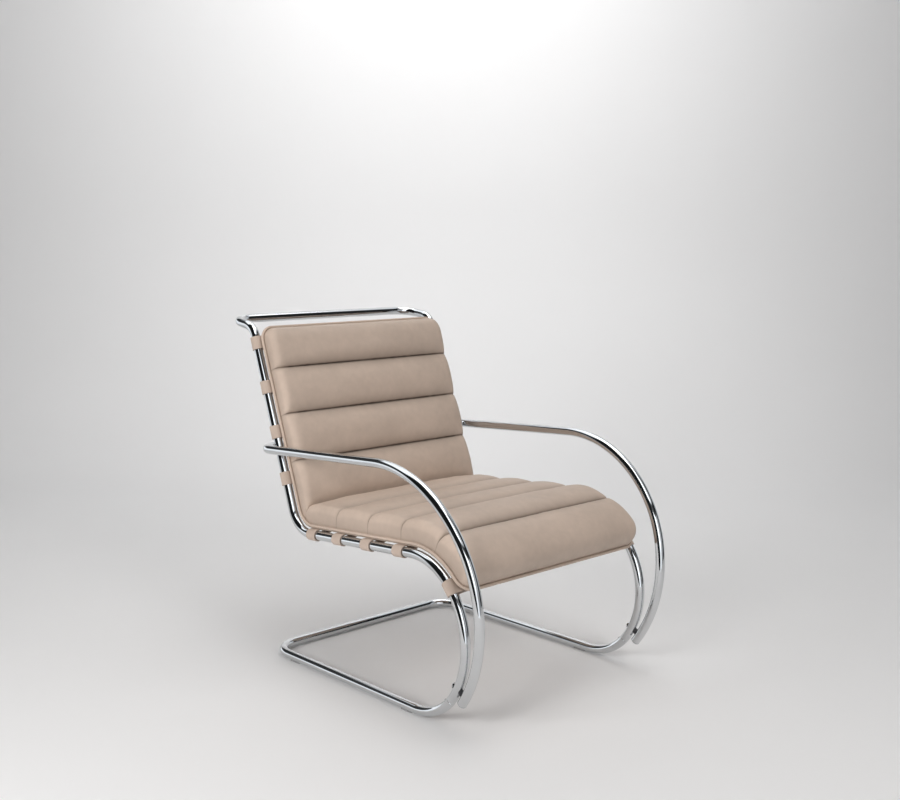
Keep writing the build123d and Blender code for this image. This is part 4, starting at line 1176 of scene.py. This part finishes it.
class CHAIR_OT_pad(bpy.types.Operator):
    """Make the channelled leather pad, filled by a cloth pass, with puckers along its seams"""

    bl_idname = "chair.pad"
    bl_label = "Pad"

    def execute(self, context):
        view = side_view()
        pad = settings().pad
        even = np.linspace(0, 1, COARSE_ROWS)
        fine_t = np.linspace(0, 1, FINE_ROWS)
        fine = fine_t * 0.5 + 0.5 * (0.5 - 0.5 * np.cos(fine_t * math.pi))
        coarse_xs = np.linspace(-pad.half_width, pad.half_width, COARSE_COLUMNS)
        xs = pad_columns(FINE_COLUMNS)
        grid, seams, from_seam, distances = pad_surface(view, fine, xs)
        moved, coarse_seams = inflate(view, even, coarse_xs)
        wide = resample(moved, coarse_xs, xs, 1)
        for number in range(len(seams) - 1):
            part = wide[coarse_seams[number] : coarse_seams[number + 1] + 1]
            spread = resample(part, np.linspace(0, 1, len(part)), fine, 0)
            grid[seams[number] : seams[number + 1] + 1] += spread
        normals = grid_normals(grid)
        grid += normals * leather_waves(grid, from_seam, xs)[:, :, None]
        obj = close_pad("channelled_pad", grid, distances, view)
        # Painted shade: a dark line along each seam, a soft shade on either side of it over the
        # middle of the pad, and a darker strip along the pad's outermost sides by the welt darken
        # the colour where shade falls in the creases.
        line = np.exp(-((from_seam / SEAM_LINE) ** 2))
        soft = np.exp(-((from_seam / SEAM_SHADE) ** 2))
        middle = np.clip((pad.half_width - np.abs(xs)) / pad.shoulder - 0.6, 0, 1)
        seam = line[:, None] * (0.5 + 0.45 * middle)[None, :]
        depth = np.maximum(seam, 0.36 * soft[:, None] * middle[None, :])
        side = np.clip((pad.half_width - np.abs(xs)) / 0.004, 0, 1)
        crease = np.maximum(depth, (1 - side)[None, :] * 0.25)
        rest = len(obj.data.vertices) - crease.size
        put_float(obj.data, "seam_shade", np.concatenate([crease.ravel(), np.zeros(rest)]))
        face_outwards(obj)
        dress(obj, "pad_leather", "cushion_cover", *SEAT_CORES, *BACK_CORES)
        return {"FINISHED"}


def grid_normals(grid):
    down = np.gradient(grid, axis=0)
    across = np.gradient(grid, axis=1)
    normal = np.cross(across, down)
    return normal / np.maximum(np.linalg.norm(normal, axis=2, keepdims=True), 1e-9)


def leather_waves(grid, from_seam, xs):
    """Height of the broad unevenness and of the small puckers along the seams."""
    rows, columns = grid.shape[:2]
    made = np.zeros((rows, columns))
    half = settings().pad.half_width
    for row in range(rows):
        near = math.exp(-from_seam[row] / 0.011) * min(1.0, from_seam[row] / 0.002)
        for column in range(columns):
            p = Vector(grid[row, column])
            broad = noise.noise(p * 14) * 0.0011 + noise.noise(p * 38 + Vector((3, 7, 1))) * 0.0004
            pucker = noise.noise(Vector((p.x * 75, p.y * 9, p.z * 9))) * 0.0011 * near
            rim = min(1.0, (half - abs(xs[column])) / 0.012)
            made[row, column] = (broad * min(1.0, from_seam[row] / 0.012) + pucker) * rim
    return made


class CHAIR_OT_welt(bpy.types.Operator):
    """Make the welt round the pad and the backing leather under it"""

    bl_idname = "chair.welt"
    bl_label = "Welt and backing"

    def execute(self, context):
        view, pad = side_view(), settings().pad
        inset = pad.layer_gap + pad.welt_radius
        height = pad.backing_base + pad.backing + pad.layer_gap + pad.welt_radius
        half, corner = pad.half_width + inset, pad.corner + inset
        start = view.pad_start + toward(view.nose_heading) * pad.corner
        runs = pad.nose_flat - pad.corner, pad.back_top - pad.corner
        line = lifted_line(view, start, *runs, height)
        side = [Vector((-half, p.x, p.y)) for p, _ in line]
        foot = corner_points(side[0], side[0] - side[1], Vector((1, 0, 0)), corner)
        side = [Vector((0, foot[-1].y, foot[-1].z)), *reversed(foot), *side]
        top = corner_points(side[-1], side[-1] - side[-2], Vector((1, 0, 0)), corner)
        half_loop = [*side, *top, Vector((0, top[-1].y, top[-1].z))]
        loop = half_loop + [Vector((-p.x, p.y, p.z)) for p in reversed(half_loop[1:-1])]
        girths = [1.0] * len(loop)
        material = finish("welt_leather")
        welt = swept_tube("pad_welt", loop, girths, pad.welt_radius, 18, material, closed=True)
        dress(welt, "welt_leather", "cushion_welt")

        start = view.pad_start - toward(view.nose_heading) * inset
        runs = pad.nose_flat + inset, pad.back_top + inset
        line = lifted_line(view, start, *runs, pad.backing_base + pad.backing / 2)
        points, faces = [], []
        total = sum((b - a).length for (a, _), (b, _) in zip(line, line[1:]))
        travelled = 0.0
        cut = []
        spots = densify(line, 0.006)
        for number, (point, _) in enumerate(spots):
            if number:
                travelled += (point - spots[number - 1][0]).length
            gap = max(corner - travelled, corner - (total - travelled), 0.0)
            cut.append(half - corner + math.sqrt(max(corner**2 - gap**2, 0.0)))
        for layer in (1, -1):
            for (point, heading), reach in zip(spots, cut):
                lift = toward(heading - math.pi / 2) * layer * pad.backing / 2
                for x in (-reach, -reach + 0.0006, reach - 0.0006, reach):
                    edge = 0.75 if abs(x) == reach else 1.0
                    points.append((x, point.x + lift.x * edge, point.y + lift.y * edge))
        count = len(spots) * 4
        for row in range(len(spots) - 1):
            for column in range(3):
                a = row * 4 + column
                faces.append((a, a + 1, a + 5, a + 4))
                faces.append((count + a + 4, count + a + 5, count + a + 1, count + a))
            for a in (row * 4, row * 4 + 3):
                faces.append((a, a + 4, count + a + 4, count + a))
        for row in (0, len(spots) - 1):
            for column in range(3):
                a = row * 4 + column
                faces.append((a, a + 1, count + a + 1, count + a))
        backing = new_mesh("pad_backing", points, faces)
        face_outwards(backing)
        dress(backing, "backing_leather", "cushion_backing")
        return {"FINISHED"}


def lifted_line(view, start, first_run, last_run, height):
    """The pad's line at a height over the tube's centreline, with new end runs."""
    moves = [run(first_run), *view.pad_moves[1:4], run(last_run)]
    raised = [
        (distance, radius + math.copysign(height, turn) if turn else 0.0, turn)
        for distance, radius, turn in moves
    ]
    point = start + toward(view.nose_heading - math.pi / 2) * height
    return trail_points(point, view.nose_heading, raised)


def densify(line, step):
    """Add places on the long straight stretches of a line."""
    made = [line[0]]
    for (a, heading_a), (b, heading_b) in zip(line, line[1:]):
        count = max(1, math.ceil((b - a).length / step))
        for number in range(1, count + 1):
            f = number / count
            made.append((a.lerp(b, f), heading_a + (heading_b - heading_a) * f))
    return made


# ---------------------------------------------------------------- stage, light and camera
class CHAIR_OT_stage(bpy.types.Operator):
    """Make the pale floor and wall, the soft light and the camera"""

    bl_idname = "chair.stage"
    bl_label = "Stage, light and camera"

    def execute(self, context):
        build_floor()
        build_lights()
        build_room_light()
        build_camera()
        return {"FINISHED"}


def build_floor():
    """A floor that turns up into a wall behind the chair, seen from the camera."""
    turn = settings().camera.azimuth
    radius, near, far, wide, high = 1.2, 1.5, 3.2, 2.7, 4.5
    profile = [(-near, 0.0), (far - radius, 0.0)]
    for number in range(1, 25):
        a = math.pi / 2 * number / 24
        profile.append((far - radius + radius * math.sin(a), radius * (1 - math.cos(a))))
    profile.append((far, high))
    depth = Vector((-math.sin(turn), math.cos(turn), 0))
    across = Vector((math.cos(turn), math.sin(turn), 0))
    points = [
        across * x + depth * d + Vector((0, 0, z)) for d, z in profile for x in (-wide, wide)
    ]
    faces = [(2 * n, 2 * n + 1, 2 * n + 3, 2 * n + 2) for n in range(len(profile) - 1)]
    obj = new_mesh("studio_floor", points, faces)
    for face in obj.data.polygons:
        face.use_smooth = True
    material, tree, shader, place = new_material("studio_plaster", Roughness=0.6)
    shader.inputs["Specular IOR Level"].default_value = 0.25
    base = settings().finishes.floor
    broad = noise_node(tree, (-4, 0), place, 1.3, 3.0)
    tone = blend_colours(tree, (-2, 0), broad, shade(base, 0.985), shade(base, 1.015))
    tree.links.new(tone, shader.inputs["Base Color"])
    fine = noise_node(tree, (-4, 2), place, 260.0, 2.0)
    add_bump(tree, shader, fine, 0.03, 0.0003)
    obj.data.materials.append(material)


def area_light(name, spot, aim, size, power, tint):
    data = bpy.data.lights.new(name, "AREA")
    data.shape = "RECTANGLE"
    data.size, data.size_y = size
    data.energy = power
    data.color = tint
    obj = bpy.data.objects.new(name, data)
    bpy.context.scene.collection.objects.link(obj)
    obj.location = spot
    obj.rotation_mode = "QUATERNION"
    obj.rotation_quaternion = (Vector(aim) - Vector(spot)).to_track_quat("-Z", "Y")
    return obj


def build_lights():
    warm = (1.0, 0.98, 0.955)
    area_light("ceiling_softbox", (0.3, -0.3, 3.3), (0, 0, 0.4), (2.2, 1.8), 29, warm)
    area_light("wall_wash", (0.9, 1.0, 3.2), (2.6, 3.0, 1.8), (2.0, 1.2), 42, (1.0, 1.0, 1.0))
    # These three light the leather. The metal mirrors the room below instead of them.
    for name, spot, size, power in (
        ("side_softbox", (-3.2, 0.4, 1.0), (0.6, 1.4), 30),
        ("key_softbox", (-2.9, -0.9, 1.6), (0.9, 1.2), 34),
        ("front_softbox", (-0.6, -3.0, 2.2), (0.9, 1.2), 31),
    ):
        soft = area_light(name, spot, (0, 0, 0.5), size, power, SOFTBOX_TINT)
        soft.visible_glossy = False


def build_room_light():
    """The room that the metal mirrors, and plain grey for everything else."""
    world = bpy.data.worlds.new("studio_world")
    bpy.context.scene.world = world
    world.use_nodes = True
    tree = world.node_tree
    tree.nodes.clear()
    link = tree.links.new
    out = add_node(tree, "ShaderNodeOutputWorld", (7, 0))
    shine = add_node(tree, "ShaderNodeBackground", (6, 0), Strength=1.0)
    place = add_node(tree, "ShaderNodeTexCoord", (0, 0))
    split = add_node(tree, "ShaderNodeSeparateXYZ", (1, 0))
    link(place.outputs["Generated"], split.inputs["Vector"])
    # What the metal mirrors: a window by the camera, a dark part on each side of it, and dark
    # bands along the ceiling.
    round_about = math_node(tree, (2, 1), "ARCTAN2", split.outputs["Y"], split.outputs["X"])
    sideways = add_node(tree, "ShaderNodeValToRGB", (4, 1))
    upwards = add_node(tree, "ShaderNodeValToRGB", (4, 0))
    up_behind = add_node(tree, "ShaderNodeValToRGB", (4, -1))
    behind = add_node(tree, "ShaderNodeValToRGB", (4, 2))
    for node, stops in (
        (sideways, [
            (0.0, 0.02), (0.116, 0.02), (0.126, 2.6), (0.20, 2.6), (0.215, 0.7), (0.315, 0.7),
            (0.335, 0.03), (0.405, 0.03), (0.425, 0.7), (0.60, 1.5), (0.885, 1.5), (0.905, 0.02),
            (1.0, 0.02),
        ]),
        (upwards, [
            (0.0, 0.35), (0.5, 0.55), (0.56, 0.85), (0.72, 0.9), (0.74, 0.05), (0.80, 0.05),
            (0.82, 1.0), (1.0, 1.1),
        ]),
        (up_behind, [
            (0.0, 0.35), (0.5, 0.75), (0.60, 0.95), (0.62, 0.03), (0.83, 0.03), (0.86, 1.0),
            (1.0, 1.1),
        ]),
        (behind, [(0.0, 0.0), (0.58, 0.0), (0.62, 1.0), (0.90, 1.0), (0.93, 0.0), (1.0, 0.0)]),
    ):
        elements = node.color_ramp.elements
        for number, (at, value) in enumerate(stops):
            element = elements[number] if number < 2 else elements.new(at)
            element.position = at
            element.color = (value * 0.98, value, value * 1.02, 1)
    turned = map_range(tree, (3, 1), round_about, 0.0, 1.0, -math.pi, math.pi)
    risen = map_range(tree, (3, 0), split.outputs["Z"], 0.0, 1.0, -1.0, 1.0)
    for ramp in (sideways, behind):
        link(turned, ramp.inputs["Fac"])
    for ramp in (upwards, up_behind):
        link(risen, ramp.inputs["Fac"])
    mask, ahead, rear = (ramp.outputs["Color"] for ramp in (behind, upwards, up_behind))
    height = blend_colours(tree, (5, 1), mask, ahead, rear)
    both = add_node(tree, "ShaderNodeMix", (5, 0))
    both.data_type = "RGBA"
    both.blend_type = "MULTIPLY"
    both.inputs[0].default_value = 1.0
    link(sideways.outputs["Color"], both.inputs[6])
    link(height, both.inputs[7])
    link(both.outputs[2], shine.inputs["Color"])
    # The metal mirrors the room in full. The leather and floor get a plain, weaker light from it.
    plain = add_node(tree, "ShaderNodeBackground", (6, 1), Color=ROOM_GREY, Strength=0.15)
    backdrop = add_node(tree, "ShaderNodeBackground", (6, 2), Color=ROOM_GREY, Strength=1.0)
    ray = add_node(tree, "ShaderNodeLightPath", (6, 3))
    for_metal = add_node(tree, "ShaderNodeMixShader", (7, 1))
    for_camera = add_node(tree, "ShaderNodeMixShader", (8, 1))
    link(ray.outputs["Is Glossy Ray"], for_metal.inputs[0])
    link(plain.outputs["Background"], for_metal.inputs[1])
    link(shine.outputs["Background"], for_metal.inputs[2])
    link(ray.outputs["Is Camera Ray"], for_camera.inputs[0])
    link(for_metal.outputs["Shader"], for_camera.inputs[1])
    link(backdrop.outputs["Background"], for_camera.inputs[2])
    link(for_camera.outputs["Shader"], out.inputs["Surface"])
    bpy.context.scene.view_settings.view_transform = "Standard"


def build_camera():
    view = settings().camera
    data = bpy.data.cameras.new("photo_view")
    obj = bpy.data.objects.new("photo_view", data)
    bpy.context.scene.collection.objects.link(obj)
    a, e = view.azimuth, view.elevation
    back = Vector((math.sin(a) * math.cos(e), -math.cos(a) * math.cos(e), math.sin(e)))
    obj.location = Vector(view.target) + back * view.distance
    obj.rotation_mode = "QUATERNION"
    obj.rotation_quaternion = (-back).to_track_quat("-Z", "Y")
    data.sensor_fit = "HORIZONTAL"
    data.sensor_width = 36.0
    data.lens = view.lens
    data.shift_x, data.shift_y = LENS_SHIFT
    data.clip_start, data.clip_end = 0.05, 60.0
    bpy.context.scene.camera = obj


# ---------------------------------------------------------------- panel and registration
class CHAIR_PT_build(bpy.types.Panel):
    """Sizes, colours and building steps of the chair"""

    bl_idname = "CHAIR_PT_build"
    bl_label = "Lounge chair"
    bl_space_type = "VIEW_3D"
    bl_region_type = "UI"
    bl_category = "Chair"

    def draw(self, context):
        column = self.layout.column()
        for operator in OPERATORS:
            column.operator(operator.bl_idname)
        for group in ("tube", "straps", "pad", "finishes", "camera"):
            held = getattr(settings(), group)
            box = self.layout.box()
            for name in held.__annotations__:
                box.prop(held, name)


class LoungeChair(bpy.types.PropertyGroup):
    tube: PointerProperty(type=TubeSizes, name="Tubes", description="Sizes of the bent tubes")
    straps: PointerProperty(type=StrapSizes, name="Straps", description="Sizes of the straps")
    pad: PointerProperty(type=PadSizes, name="Pad", description="Sizes of the pad")
    finishes: PointerProperty(type=Finishes, name="Finishes", description="Colours of the pieces")
    camera: PointerProperty(type=CameraSizes, name="Camera", description="Where the camera stands")


OPERATORS = (
    CHAIR_OT_stage, CHAIR_OT_tubes, CHAIR_OT_fittings, CHAIR_OT_straps, CHAIR_OT_pad, CHAIR_OT_welt
)
SETTINGS = (TubeSizes, StrapSizes, PadSizes, Finishes, CameraSizes, LoungeChair)
CLASSES = (*SETTINGS, *OPERATORS, CHAIR_PT_build)


def register():
    for item in CLASSES:
        bpy.utils.register_class(item)
    bpy.types.Scene.lounge_chair = PointerProperty(type=LoungeChair)


def unregister():
    del bpy.types.Scene.lounge_chair
    for item in reversed(CLASSES):
        bpy.utils.unregister_class(item)


def main():
    register()
    for operator in OPERATORS:
        group, name = operator.bl_idname.split(".")
        getattr(getattr(bpy.ops, group), name)()


if __name__ == "__main__":
    main()
